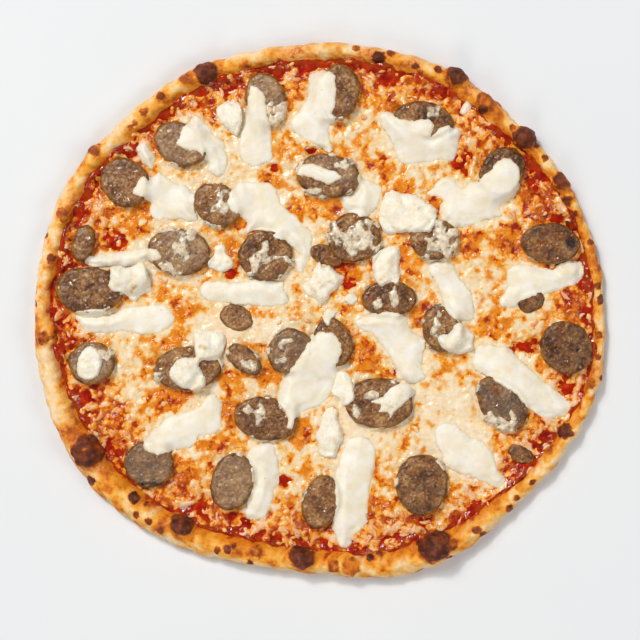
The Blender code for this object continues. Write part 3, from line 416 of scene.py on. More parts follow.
def blurred(field, radius):
    """The mean over a patch of about `radius` mm, taken twice."""
    reach = max(1, round(radius / CELL))
    for axis in (0, 1, 0, 1):
        edge = [(reach + 1, reach) if axis == k else (0, 0) for k in (0, 1)]
        sums = np.cumsum(np.pad(field, edge, mode="edge"), axis)
        size = field.shape[axis]
        ahead = np.take(sums, np.arange(size) + 2 * reach + 1, axis)
        behind = np.take(sums, np.arange(size), axis)
        field = (ahead - behind) / (2 * reach + 1)
    return field


def widened(field, radius):
    """The highest value within `radius` mm each way."""
    reach = max(1, round(radius / CELL))
    for axis in (0, 1):
        field = np.maximum.reduce([np.roll(field, step, axis) for step in range(-reach, reach + 1)])
    return field


def on_map(field, x, y):
    """The map's value at places between its cells."""
    before_last = SIDE - 1.001
    u, v = (np.clip((np.asarray(value) + REACH) / CELL, 0, before_last) for value in (x, y))
    i, j = u.astype(int), v.astype(int)
    a, b = u - i, v - j
    low = field[j, i] * (1 - a) + field[j, i + 1] * a
    high = field[j + 1, i] * (1 - a) + field[j + 1, i + 1] * a
    return low * (1 - b) + high * b


def spots(places, warp=0.25, seed=5):
    """A map that is 1 in the middle of each place and falls to 0 at its uneven edge."""
    bend = warp * map_rough(7, seed)
    field = np.zeros((SIDE, SIDE))
    for x, y, half_x, half_y in places:
        away = np.hypot((MAP_X - x) / half_x, (MAP_Y - y) / half_y) + bend
        field = np.maximum(field, fading(0.55, 1.25, away))
    return field


def curve_through(points, places, closed):
    """Points on the smooth curve through `points`, at places counted in points along the first axis."""
    count = len(points)
    before = np.floor(places).astype(int)
    t = (places - before).reshape((-1,) + (1,) * (points.ndim - 1))
    steps = [before + k for k in (-1, 0, 1, 2)]
    steps = [s % count if closed else np.clip(s, 0, count - 1) for s in steps]
    a, b, c, d = (points[s] for s in steps)
    return b + 0.5 * t * (c - a + t * (2 * a - 5 * b + 4 * c - d + t * (3 * (b - c) + d - a)))


# ================================================================ shapes read from the frame
# Triangles with less area than this, seen from above, are walls. A place this little outside a triangle
# counts as in it. A node's window of the map has this many more cells on each side.
LEAST_AREA = 1e-4
SLACK = 1e-6
WINDOW_MARGIN = 12

# The steps, in corners of the loop, between the points of a solid's outline
OUTLINE_STEP = 0.2


def solid(node):
    """A node's points in mm and its triangles, with points that lie together made one."""
    mesh = frame["nodes"][node].data
    mesh.calc_loop_triangles()
    points = np.empty(len(mesh.vertices) * 3, np.float32)
    mesh.vertices.foreach_get("co", points)
    corners = np.empty(len(mesh.loop_triangles) * 3, np.int32)
    mesh.loop_triangles.foreach_get("vertices", corners)
    points = points.reshape(-1, 3).astype(float) / MM
    _, first, same = np.unique(np.round(points, 3), axis=0, return_index=True, return_inverse=True)
    return points[first], same.reshape(-1)[corners].reshape(-1, 3)


def facing(points, triangles):
    """How far each triangle looks up: twice its area seen from above, below nought if it looks down."""
    a, b, c = (points[triangles[:, k], :2] for k in range(3))
    return (b - a)[:, 0] * (c - a)[:, 1] - (b - a)[:, 1] * (c - a)[:, 0]


def height_map(node, upper=True):
    """A window of the map with the height of the node's upper (or lower) side, nan where the node isn't."""
    points, triangles = solid(node)
    area = facing(points, triangles) * (1 if upper else -1)
    low = np.maximum(((points.min(0)[:2] + REACH) / CELL).astype(int) - WINDOW_MARGIN, 0)
    high = np.minimum(((points.max(0)[:2] + REACH) / CELL).astype(int) + WINDOW_MARGIN + 1, SIDE)
    window = (slice(low[1], high[1]), slice(low[0], high[0]))
    worst = -np.inf if upper else np.inf
    heights = np.full((high[1] - low[1], high[0] - low[0]), worst)
    better = np.maximum if upper else np.minimum
    for triangle in points[triangles[area > LEAST_AREA]]:
        a, b, c = triangle
        first = np.maximum(np.floor((triangle.min(0)[:2] + REACH) / CELL).astype(int), low)
        last = np.minimum(np.ceil((triangle.max(0)[:2] + REACH) / CELL).astype(int) + 1, high)
        x, y = np.meshgrid(LINE[first[0]:last[0]], LINE[first[1]:last[1]])
        whole = (b[0] - a[0]) * (c[1] - a[1]) - (b[1] - a[1]) * (c[0] - a[0])
        v = ((x - a[0]) * (c[1] - a[1]) - (y - a[1]) * (c[0] - a[0])) / whole
        w = ((b[0] - a[0]) * (y - a[1]) - (b[1] - a[1]) * (x - a[0])) / whole
        z = a[2] + v * (b[2] - a[2]) + w * (c[2] - a[2])
        inside = (v > -SLACK) & (w > -SLACK) & (v + w < 1 + SLACK)
        part = (slice(first[1] - low[1], last[1] - low[1]), slice(first[0] - low[0], last[0] - low[0]))
        heights[part] = np.where(inside, better(heights[part], z), heights[part])
    heights[~np.isfinite(heights)] = np.nan
    return window, heights


def outline(node):
    """The node's outline seen from above, smooth and counterclockwise."""
    points, triangles = solid(node)
    up = triangles[facing(points, triangles) > LEAST_AREA]
    edges = {(t[k], t[(k + 1) % 3]) for t in up.tolist() for k in range(3)}
    after = {a: b for a, b in edges if (b, a) not in edges}
    best = []
    while after:
        place, following = after.popitem()
        loop = [place]
        while following in after:
            loop.append(following)
            following = after.pop(following)
        best = max(best, loop, key=len)
    corners = points[best][:, :2]
    return curve_through(corners, np.arange(0, len(corners), OUTLINE_STEP), closed=True)


# ================================================================ meshes
# Points measured at a time, and how near an edge, in steps of the grid, a point is moved onto it
BATCH = 4000
SNAP = 0.55


def piece(name, points, faces, material, marks, nodes=()):
    """A piece made of points in mm and lists of faces, that rides on the body and stands for its nodes."""
    mesh = bpy.data.meshes.new(name)
    corners = np.concatenate([np.ravel(part) for part in faces]).astype(np.int32)
    sizes = np.concatenate([np.full(len(part), np.shape(part)[1]) for part in faces])
    mesh.vertices.add(len(points))
    mesh.vertices.foreach_set("co", (np.asarray(points) * MM).astype(np.float32).ravel())
    mesh.loops.add(len(corners))
    mesh.loops.foreach_set("vertex_index", corners)
    mesh.polygons.add(len(sizes))
    mesh.polygons.foreach_set("loop_start", np.concatenate([[0], np.cumsum(sizes)[:-1]]).astype(np.int32))
    mesh.polygons.foreach_set("use_smooth", np.ones(len(sizes), bool))
    mesh.update(calc_edges=True)
    for label, values in marks.items():
        mark = mesh.attributes.new(label, "FLOAT", "POINT")
        mark.data.foreach_set("value", np.broadcast_to(values, len(points)).astype(np.float32))
    mesh.materials.append(material)
    made = bpy.data.objects.new(name, mesh)
    bpy.context.scene.collection.objects.link(made)
    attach(made, "root")
    if nodes:
        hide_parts(*nodes)
    return made


def inset_in(loop):
    """A function that measures points against the loop."""
    step = np.roll(loop, -1, 0) - loop
    length = np.maximum((step ** 2).sum(1), 1e-9)

    def measure(points):
        """How far each point lies inside, below nought outside, and the place of the loop nearest it."""
        insets, nearest = np.empty(len(points)), np.empty((len(points), 2))
        for start in range(0, len(points), BATCH):
            part = slice(start, start + BATCH)
            some = points[part]
            to = some[:, None] - loop
            share = np.clip((to * step).sum(2) / length, 0, 1)
            near = loop + share[..., None] * step
            gap = ((some[:, None] - near) ** 2).sum(2)
            closest = gap.argmin(1)
            nearest[part] = near[np.arange(len(some)), closest]
            below = loop[:, 1] > some[:, 1:2]
            crosses = below != np.roll(below, -1, 1)
            with np.errstate(divide="ignore", invalid="ignore"):
                at = loop[:, 0] + (some[:, 1:2] - loop[:, 1]) / step[:, 1] * step[:, 0]
            inside = (crosses & (at > some[:, 0:1])).sum(1) % 2 == 1
            insets[part] = np.sqrt(gap.min(1)) * np.where(inside, 1, -1)
        return insets, nearest

    return measure


def grid_patch(measure, low, high, step):
    """A grid cut to an outline, the points near it moved onto it: points, insets, quads and triangles."""
    x, y = np.meshgrid(np.arange(low[0] - step, high[0] + 2 * step, step),
                       np.arange(low[1] - step, high[1] + 2 * step, step))
    rows, columns = x.shape
    points = np.column_stack([x.ravel(), y.ravel()])
    inset, nearest = measure(points)
    at_edge = np.abs(inset) < SNAP * step
    points[at_edge], inset[at_edge] = nearest[at_edge], 0.0
    kept = inset >= 0
    cells = (np.arange(rows - 1)[:, None] * columns + np.arange(columns - 1)).ravel()
    ring = np.column_stack([cells, cells + 1, cells + columns + 1, cells + columns])
    good = kept[ring]
    quads = ring[good.all(1)]
    three = ring[good.sum(1) == 3]
    lost = (~kept[three]).argmax(1)
    turns = (lost[:, None] + np.array([1, 2, 3])) % 4
    triangles = np.take_along_axis(three, turns, 1)
    used = np.zeros(len(points), bool)
    used[quads] = True
    used[triangles] = True
    number = np.cumsum(used) - 1
    return points[used], inset[used], number[quads], number[triangles]


def border(quads, triangles):
    """The directed edges at the outside of a patch."""
    edges = [quads[:, [k, (k + 1) % 4]] for k in range(4)]
    edges = np.concatenate(edges + [triangles[:, [k, (k + 1) % 3]] for k in range(3)])
    key = edges[:, 0].astype(np.int64) * (edges.max() + 1) + edges[:, 1]
    back = edges[:, 1].astype(np.int64) * (edges.max() + 1) + edges[:, 0]
    return edges[~np.isin(key, back)]


def slab(flat, quads, triangles, top, under):
    """A closed body: the patch at its top heights, the same patch turned over below, and a wall round it."""
    count = len(flat)
    wall = border(quads, triangles)
    points = np.concatenate([np.column_stack([flat, top]), np.column_stack([flat, under])])
    sides = np.column_stack([wall[:, 1], wall[:, 0], wall[:, 0] + count, wall[:, 1] + count])
    return points, [quads, triangles, quads[:, ::-1] + count, triangles[:, ::-1] + count, sides]


def on_flat_base(flat, quads, triangles, top, level):
    """A closed body: the patch at its top heights, a wall round it and one flat face below."""
    wall = border(quads, triangles)
    after = dict(wall.tolist())
    start = int(wall[0, 0])
    loop, place = [start], after[start]
    while place != start:
        loop.append(place)
        place = after[place]
    loop = np.array(loop)
    below = len(flat) + np.arange(len(loop))
    points = np.concatenate([np.column_stack([flat, top]),
                             np.column_stack([flat[loop], np.full(len(loop), level)])])
    sides = np.column_stack([np.roll(loop, -1), loop, below, np.roll(below, -1)])
    return points, [quads, triangles, sides, below[::-1][None]]


# ================================================================ materials
def colour(code):
    """A Blender colour from the six figures of a web colour."""
    parts = [int(code[k:k + 2], 16) / 255 for k in (0, 2, 4)]
    return tuple(p / 12.92 if p < 0.04045 else ((p + 0.055) / 1.055) ** 2.4 for p in parts) + (1.0,)


class Recipe:
    """A node tree in the making: a number that a node is given is set, and a socket is linked."""

    def __init__(self, tree):
        self.tree = tree

    def feed(self, node, inputs):
        """Sets or links some of a node's inputs."""
        for key, value in inputs.items():
            if isinstance(value, bpy.types.NodeSocket):
                self.tree.links.new(value, node.inputs[key])
            else:
                node.inputs[key].default_value = value

    def add(self, kind, inputs, **settings):
        """Adds a node with its inputs and its settings."""
        made = self.tree.nodes.new(kind)
        for key, value in settings.items():
            setattr(made, key, value)
        self.feed(made, inputs)
        return made

    def sums(self, operation, *values):
        """The result of a sum of two or three values."""
        return self.add("ShaderNodeMath", dict(enumerate(values)), operation=operation).outputs[0]

    def times(self, first, *others):
        """The product of the values."""
        for other in others:
            first = self.sums("MULTIPLY", first, other)
        return first

    def step(self, value, low, high, first=0.0, last=1.0, way="LINEAR"):
        """Goes from `first` to `last` while the value goes from `low` to `high`."""
        given = {"Value": value, "From Min": low, "From Max": high, "To Min": first, "To Max": last}
        return self.add("ShaderNodeMapRange", given, interpolation_type=way).outputs["Result"]


def new_group(name, inputs, outputs):
    """An empty shader node group whose first input is a size in mm: its recipe, the sockets of its inputs,
    the node that takes its outputs, the place on the piece, and the scale that gives a texture that size."""
    group = bpy.data.node_groups.new(name, "ShaderNodeTree")
    for label, start in inputs.items():
        socket = group.interface.new_socket(label, in_out="INPUT", socket_type="NodeSocketFloat")
        socket.default_value = start
    for label in outputs:
        group.interface.new_socket(label, in_out="OUTPUT", socket_type="NodeSocketFloat")
    recipe, given = Recipe(group), group.nodes.new("NodeGroupInput").outputs
    where = recipe.add("ShaderNodeTexCoord", {}).outputs["Object"]
    scale = recipe.sums("DIVIDE", 1 / MM, given[0])
    return recipe, given, group.nodes.new("NodeGroupOutput"), where, scale


def cloudy_group():
    """Cloudy patches: Size is their width in mm, Low and High where the noise turns from 0 to 1."""
    group, given, end, where, scale = new_group("cloudy", {"Size": 5.0, "Low": 0.4, "High": 0.6}, ["Mask"])
    clouds = group.add("ShaderNodeTexNoise", {"Vector": where, "Scale": scale, "Detail": 4.0}).outputs["Fac"]
    group.feed(end, {"Mask": group.step(clouds, given["Low"], given["High"], way="SMOOTHSTEP")})
    return group.tree


def flecks_group():
    """Separate flecks: Spacing and Width in mm, Share the part of them that is there."""
    start = {"Spacing": 3.0, "Width": 1.0, "Share": 0.5}
    group, given, end, where, scale = new_group("flecks", start, ["Mask"])
    finer = {"Vector": where, "Scale": group.times(scale, 2.5)}
    wobble = group.add("ShaderNodeTexNoise", finer).outputs["Fac"]
    cells = group.add("ShaderNodeTexVoronoi", {"Vector": where, "Scale": scale}).outputs
    away = group.sums("ADD", cells["Distance"], group.sums("MULTIPLY_ADD", wobble, 0.3, -0.15))
    reach = group.times(group.sums("DIVIDE", given["Width"], given["Spacing"]), 0.5)
    near = group.step(away, reach, 0.0, way="SMOOTHSTEP")
    chance = group.add("ShaderNodeSeparateColor", {"Color": cells["Color"]}).outputs["Red"]
    group.feed(end, {"Mask": group.times(near, group.sums("LESS_THAN", chance, given["Share"]))})
    return group.tree


def grain_group():
    """Fine relief: Size is the width in mm of its largest bumps, Fine the share of the smaller ones."""
    group, given, end, where, scale = new_group("grain", {"Size": 1.5, "Fine": 0.6}, ["Height"])
    bumps = {"Vector": where, "Scale": scale, "Detail": 5.0, "Roughness": given["Fine"]}
    group.feed(end, {"Height": group.add("ShaderNodeTexNoise", bumps).outputs["Fac"]})
    return group.tree


def curdled_group():
    """Curds pressed together, Size mm wide: Gap is 1 between them, Shade differs from one to the next."""
    group, given, end, where, scale = new_group("curdled", {"Size": 3.0}, ["Gap", "Shade"])
    swirl = group.add("ShaderNodeTexNoise", {"Vector": where, "Scale": scale, "Detail": 3.0})
    turned = {0: swirl.outputs["Color"], 1: (0.5, 0.5, 0.5)}
    turned = group.add("ShaderNodeVectorMath", turned, operation="SUBTRACT").outputs[0]
    reach = group.times(given["Size"], 2.2 * MM)
    shift = group.add("ShaderNodeVectorMath", {0: turned, "Scale": reach}, operation="SCALE").outputs[0]
    bent = group.add("ShaderNodeVectorMath", {0: where, 1: shift}, operation="ADD").outputs[0]
    cells = group.add("ShaderNodeTexVoronoi", {"Vector": bent, "Scale": scale}, voronoi_dimensions="2D")
    cells = cells.outputs
    shade = group.add("ShaderNodeSeparateColor", {"Color": cells["Color"]}).outputs["Red"]
    group.feed(end, {"Gap": group.step(cells["Distance"], 0.3, 0.68, way="SMOOTHSTEP"), "Shade": shade})
    return group.tree


CLOUDY = cloudy_group()
FLECKS = flecks_group()
GRAIN = grain_group()
CURDLED = curdled_group()


class Finish(Recipe):
    """A material in the making: `base` is its colour so far, and each tint is laid over it."""

    def __init__(self, name):
        self.material = bpy.data.materials.new(name)
        self.material.use_nodes = True
        self.base = None
        super().__init__(self.material.node_tree)

    def mark(self, label):
        """The value of one of the piece's marks."""
        return self.add("ShaderNodeAttribute", {}, attribute_name=label).outputs["Fac"]

    def cloudy(self, size, low=0.4, high=0.6):
        """A mask of cloudy patches."""
        given = {"Size": size, "Low": low, "High": high}
        return self.add("ShaderNodeGroup", given, node_tree=CLOUDY).outputs[0]

    def flecks(self, spacing, width, share):
        """A mask of separate flecks."""
        given = {"Spacing": spacing, "Width": width, "Share": share}
        return self.add("ShaderNodeGroup", given, node_tree=FLECKS).outputs[0]

    def grain(self, size, fine=0.6):
        """A fine uneven height from 0 to 1, smooth and wet where `fine` is small."""
        return self.add("ShaderNodeGroup", {"Size": size, "Fine": fine}, node_tree=GRAIN).outputs[0]

    def uneven(self, size, amount):
        """The grain brought to lie about nought."""
        return self.sums("MULTIPLY_ADD", self.grain(size), amount, -amount / 2)

    def curdled(self, size):
        """The gaps between curds, and a shade for each curd."""
        made = self.add("ShaderNodeGroup", {"Size": size}, node_tree=CURDLED)
        return made.outputs["Gap"], made.outputs["Shade"]

    def ramp(self, value, *stops):
        """Colours laid along a value, each stop a place from 0 to 1 and a web colour."""
        made = self.add("ShaderNodeValToRGB", {0: value})
        elements = made.color_ramp.elements
        while len(elements) < len(stops):
            elements.new(0.5)
        for element, (where, code) in zip(elements, stops):
            element.position = where
            element.color = colour(code)
        return made.outputs[0]

    def tint(self, over, *masks):
        """Lays a web colour, or the colour of a socket, over the base as far as the masks let it."""
        over = colour(over) if isinstance(over, str) else over
        mixed = self.add("ShaderNodeMix", {0: self.times(*masks), 6: self.base, 7: over}, data_type="RGBA")
        self.base = mixed.outputs[2]

    def surface(self, height, depth, roughness, gloss, glow=None):
        """Gives the shader the colour, relief `depth` mm deep, roughness and gloss; `glow` is how much light
        goes into the surface, how far it goes for red, green and blue, and the reach in metres."""
        bump = self.add("ShaderNodeBump", {"Height": height, "Distance": depth * MM, "Strength": 1.0})
        inputs = {"Base Color": self.base, "Normal": bump.outputs["Normal"], "Roughness": roughness,
                  "Specular IOR Level": gloss}
        if glow:
            inputs.update(zip(("Subsurface Weight", "Subsurface Radius", "Subsurface Scale"), glow))
        self.feed(self.tree.nodes["Principled BSDF"], inputs)
        return self.material


def crust_finish():
    """Baked dough: floury cream to golden to black, by the mark `bake`, with sauce smeared at its foot."""
    dough = Finish("baked_crust")
    calm = dough.step(dough.mark("bake"), 0.5, 0.7, 1.0, 0.4)
    patchy = dough.sums("ADD", dough.uneven(5.0, 0.6), dough.uneven(1.6, 0.3))
    bake = dough.sums("MULTIPLY_ADD", patchy, calm, dough.mark("bake"))
    dough.base = dough.ramp(bake, (0.0, "F6DFBE"), (0.14, "F3CB8E"), (0.27, "F3B452"), (0.42, "EC9826"),
                            (0.54, "CE6A12"), (0.65, "8E4216"), (0.74, "642A12"), (0.86, "431B0E"),
                            (1.0, "200F0A"))
    dough.tint("8E4E32", dough.step(bake, 0.64, 0.76), dough.cloudy(3.4, 0.46, 0.66), 0.6)
    dough.tint("7A3A14", dough.flecks(3.2, 1.8, 0.4), dough.mark("freckle"))
    smear = dough.sums("ADD", dough.mark("smear"), dough.uneven(3.0, 0.8))
    smear = dough.times(dough.sums("LESS_THAN", bake, 0.66), smear)
    oily = dough.step(smear, 0.1, 0.6)
    dough.tint("E2851C", oily, 0.7)
    dough.tint("B4380C", dough.step(smear, 0.68, 1.0))
    pale = dough.sums("LESS_THAN", bake, 0.55)
    dough.tint("F3DCC2", dough.mark("flour"), dough.cloudy(1.4, 0.35, 0.75), pale, 0.45)
    return dough.surface(dough.grain(2.2), 0.6, dough.step(oily, 0.0, 1.0, 0.6, 0.3), 0.25)


def sauce_finish():
    """Wet tomato sauce with dark pulp and a skin of oil, scorched beside the rim."""
    sauce = Finish("tomato_sauce")
    sauce.base = sauce.ramp(sauce.grain(5.0), (0.3, "640B02"), (0.44, "921402"), (0.56, "AE2202"),
                            (0.7, "C64206"))
    sauce.tint("5A0E08", sauce.flecks(2.4, 1.1, 0.35), 0.6)
    sauce.tint("9C3A0A", sauce.mark("scorch"), sauce.cloudy(4.0))
    return sauce.surface(sauce.grain(2.6, 0.2), 0.7, 0.14, 0.3)


def cheese_finish(name, relief):
    """Melted cheese: red and orange where thin (mark `cover`), cream where thick, with brown specks."""
    cheese = Finish(name)
    small_gap, small_shade = cheese.curdled(3.2)
    large_gap, large_shade = cheese.curdled(6.0)
    curdy = cheese.mark("curdy")
    gap = cheese.sums("MULTIPLY_ADD", small_gap, 0.35, cheese.times(large_gap, 0.8))
    between = cheese.times(gap, curdy)
    shade = cheese.sums("MULTIPLY_ADD", cheese.sums("ADD", small_shade, large_shade), 0.22, -0.12)
    cover = cheese.sums("ADD", cheese.mark("cover"), cheese.uneven(2.6, 0.6))
    cover = cheese.sums("MULTIPLY_ADD", between, -0.42, cover)
    cover = cheese.sums("MULTIPLY_ADD", shade, curdy, cover)
    cheese.base = cheese.ramp(cover, (0.0, "9A2203"), (0.12, "BA4203"), (0.23, "DA6A08"), (0.34, "EC9216"),
                              (0.47, "F0B24A"), (0.61, "F0C584"), (0.78, "F0D6AC"), (1.0, "F6E8D0"))
    cheese.tint("E39A40", cheese.mark("dots"), cheese.flecks(3.2, 2.3, 0.5))
    cheese.tint("E8987A", cheese.mark("pink"), 0.55, cheese.step(cover, 0.2, 0.5))
    cheese.tint("E5850D", cheese.mark("oil"), cheese.cloudy(5.0, 0.4, 0.58))
    cheese.tint("BE580A", cheese.mark("brown"), cheese.flecks(3.4, 1.7, 0.35))
    speckled = cheese.sums("MULTIPLY_ADD", cheese.mark("brown"), 0.7, 0.3)
    cheese.tint("74350C", speckled, cheese.flecks(4.2, 1.1, 0.28))
    veil = cheese.mark("veil")
    cheese.tint("A09078", veil, cheese.sums("MULTIPLY_ADD", small_gap, 0.9, cheese.cloudy(3.0, 0.3, 0.7)))
    cheese.tint("6E5640", cheese.step(veil, 0.6, 1.0), 0.85)
    height = cheese.sums("MULTIPLY_ADD", between, -0.6, cheese.times(cheese.grain(2.4, 0.25), 1.6))
    return cheese.surface(height, relief, 0.2, 0.4, (0.15, (1.0, 0.55, 0.3), 0.0012))


def sausage_finish():
    """Cooked ground sausage: brown, with fat, dark crumbs, a golden brown casing, oil and burns. Its pale
    fat specks are also painted glints, and its lighter cloudy patches are partly a painted greyish sheen.
    """
    meat = Finish("cooked_sausage")
    fine = meat.sums("MULTIPLY_ADD", meat.grain(1.6), 0.9, -0.1)
    shade = meat.sums("MULTIPLY_ADD", meat.grain(5.0), 0.3, fine)
    shade = meat.sums("ADD", shade, meat.mark("tone"))
    meat.base = meat.ramp(shade, (0.26, "3C1E0B"), (0.42, "6E411A"), (0.56, "956538"), (0.74, "BE9664"))
    # Lighter cloudy patches: partly uneven meat, partly a painted greyish sheen
    meat.tint("94714F", meat.cloudy(6.0, 0.46, 0.62), 0.22)
    meat.tint("8E7C68", meat.mark("grey"), 0.3)
    meat.tint("BC9876", meat.flecks(1.5, 0.9, 0.4), 0.25)
    meat.tint("2E170C", meat.flecks(3.0, 1.9, 0.45), 0.75)
    # Pale specks of fat, bright enough that they also stand in for small glints: painted highlights
    meat.tint("E2D0B0", meat.flecks(3.2, 1.1, 0.5), 0.9)
    meat.tint("9A5E2A", meat.flecks(6.0, 2.2, 0.35), 0.5)
    meat.tint("7C3A10", meat.mark("oiled"), meat.cloudy(3.0, 0.42, 0.7))
    meat.tint(meat.ramp(meat.grain(4.0), (0.4, "4A290E"), (0.6, "A06A26")), meat.mark("casing"))
    meat.tint("1C0E08", meat.mark("char"), meat.cloudy(2.4, 0.25, 0.5))
    height = meat.sums("SUBTRACT", meat.grain(2.6, 0.25), meat.times(meat.flecks(2.4, 1.5, 0.4), 0.4))
    wet = meat.step(meat.cloudy(5.0, 0.5, 0.66), 0.0, 1.0, 0.45, 0.1)
    return meat.surface(height, 1.1, wet, 0.5)


def mozzarella_finish():
    """Fresh mozzarella: milky and smooth, warmer where it is `thin`, with tiny grey specks."""
    milk = Finish("fresh_mozzarella")
    milk.base = milk.ramp(milk.grain(9.0), (0.36, "ECE0C6"), (0.5, "F1E7D4"), (0.62, "F4EDE1"))
    milk.tint("E6D8BE", milk.cloudy(7.0, 0.52, 0.72), 0.25)
    milk.tint("EBCB98", milk.mark("thin"), 0.75)
    milk.tint("A39684", milk.flecks(4.6, 1.1, 0.4), 0.5)
    return milk.surface(milk.grain(2.6), 0.14, 0.48, 0.33, (0.3, (1.0, 0.7, 0.45), 0.002))


def ricotta_finish():
    """Ricotta: pale yellow curds with golden tips (mark `tip`)."""
    curd = Finish("ricotta")
    curd.base = curd.ramp(curd.grain(5.0), (0.35, "EFE1C3"), (0.6, "F5F0E2"))
    curd.tint("D4A444", curd.mark("tip"), curd.cloudy(3.8, 0.46, 0.68))
    return curd.surface(curd.grain(1.2), 0.35, 0.5, 0.35, (0.25, (1.0, 0.75, 0.5), 0.002))


def table_finish():
    """The plain pale table, very slightly uneven."""
    board = Finish("pale_table")
    board.base = board.ramp(board.grain(400.0), (0.3, "E4E6E9"), (0.7, "E8EAEC"))
    return board.surface(board.grain(3.0), 0.02, 0.6, 0.2)


CRUST = crust_finish()
SAUCE = sauce_finish()
CHEESE = cheese_finish("melted_cheese", 0.45)
SHREDS = cheese_finish("cheese_shreds", 0.2)
SAUSAGE = sausage_finish()
MOZZARELLA = mozzarella_finish()
RICOTTA = ricotta_finish()


# ================================================================ crust
def crust_sections():
    """The crust's section at each of its turns, from the foot of the rim over its top to the table."""
    points, _ = solid("crust")
    x, y = points[:, 0] - CRUST_MIDDLE[0], points[:, 1] - CRUST_MIDDLE[1]
    radius, turn = np.hypot(x, y), np.arctan2(y, x) % math.tau
    column = np.round(turn / math.tau * CRUST_TURNS).astype(int) % CRUST_TURNS
    sections = []
    for number in range(CRUST_TURNS):
        here = column == number
        r, z = radius[here], points[here, 2]
        around = np.arctan2(z - SECTION_HEART, r - (r.min() + r.max()) / 2)
        order = np.argsort(-around)
        sections.append(np.column_stack([r[order], z[order]]))
    return np.array(sections)


SECTIONS = crust_sections()
FOOT = SECTIONS[:, 0, 0]


def foot_radius(turn):
    """The radius of the rim's inner foot at a turn in radians."""
    return curve_through(FOOT, (turn / math.tau * CRUST_TURNS) % CRUST_TURNS, closed=True)


def inland(x, y):
    """How far a place lies inside the foot of the rim."""
    away_x, away_y = x - CRUST_MIDDLE[0], y - CRUST_MIDDLE[1]
    turn = np.arctan2(away_y, away_x)
    return foot_radius(turn.ravel()).reshape(turn.shape) - np.hypot(away_x, away_y)


def fine_rim():
    """The smooth rim before its bubbles: each point's radius and height, and the way out of the dough."""
    columns = curve_through(SECTIONS, np.arange(FINE_TURNS) * CRUST_TURNS / FINE_TURNS, closed=True)
    run = np.linalg.norm(np.diff(SECTIONS, axis=1), axis=2).mean(0)
    along = np.concatenate([[0], np.cumsum(run)])
    places = np.interp(np.linspace(0, along[-1], FINE_SECTION), along, np.arange(len(along)))
    grid = curve_through(columns.transpose(1, 0, 2), places, closed=False).transpose(1, 0, 2)
    radius, z = grid[..., 0], grid[..., 1]
    slope_r, slope_z = np.gradient(radius, axis=1), np.gradient(z, axis=1)
    size = np.hypot(slope_r, slope_z) + 1e-9
    return radius, z, -slope_z / size, slope_r / size


def bubbles(x, y, z, u, v):
    """How far the dough swells out at each point of the rim, and how burnt it is there."""
    lift = 1.0 * noise(u, v, 13, 11) + 0.65 * noise(u, v, 5.5, 12) + 0.18 * noise(u, v, 2.2, 13)
    burn = np.zeros_like(x)
    for middle_x, middle_y, radius, burnt, swell in BURNS:
        wobble = min(1.0, 3.2 / radius)
        flat_away = np.hypot(x - middle_x, y - middle_y)
        middle_z = z.flat[np.argmin(flat_away - 0.3 * z)]
        away = np.hypot(flat_away, 0.6 * (z - middle_z)) / (1.12 * radius)
        away = away + wobble * (0.3 * noise(u, v, 3.4, 14) + 0.16 * noise(u, v, 1.3, 15))
        near = away < 1.8
        crater = noise(u[near], v[near], 3.0, 16)
        lift[near] += 1.25 * swell * np.sqrt(np.clip(1 - away[near] ** 2 * 0.8, 0, 1)) * (1 + 0.08 * crater)
        lift[near] -= 0.25 * np.exp(-((away[near] - 1.25) / 0.2) ** 2) * (swell > 0.5)
        burn = np.maximum(burn, 0.8 * burnt * fading(0.8, 1.25, away) * (1 + 0.13 * noise(x, y, 4.2, 17)))
    return lift, burn


def floury(x, y, inner, flank):
    """How much flour lies on the rim: on its outer flank, and in a few stretches."""
    flour = np.zeros_like(x)
    for middle_x, middle_y, radius in FLOUR:
        flour = np.maximum(flour, fading(0.3, 1.1, np.hypot(x - middle_x, y - middle_y) / radius))
    return np.maximum(flour * (1 - 0.8 * inner), 0.8 * flank)


def browned(x, y, u, v, turn, share, inner, flank, flour, burn):
    """How baked the rim is: about 0.34 where golden, above 0.6 where dark."""
    bake = 0.34 + 0.1 * inner + 0.36 * rough(u, v, 11, 21) + 0.1 * noise(u, v, 3.6, 23) - 0.1 * flour
    for middle, half, at_inside, at_outside in STRETCHES:
        away = np.abs((np.degrees(turn) - middle + 180) % 360 - 180) / half + 0.35 * noise(u, v, 9, 22)
        bake = bake + fading(0.3, 1.3, away) * (at_outside + (at_inside - at_outside) * inner)
    bake = bake - 0.08 * flank
    bake = np.where(bake > 0.46, 0.46 + 0.4 * (bake - 0.46), np.maximum(bake, 0.13))
    edge_line = np.exp(-((share - 0.8) / 0.035) ** 2) * ease(-0.1, 0.5, noise(u, v, 24, 24))
    bake = bake + 0.3 * edge_line
    bake = np.where(share > 0.84, bake + 0.1, bake)
    bake = np.maximum(bake, burn + 0.06 * noise(x, y, 2.2, 25) * (burn > 0.2))
    return np.maximum(bake, 0.56 * ease(0.0, 0.5, burn))


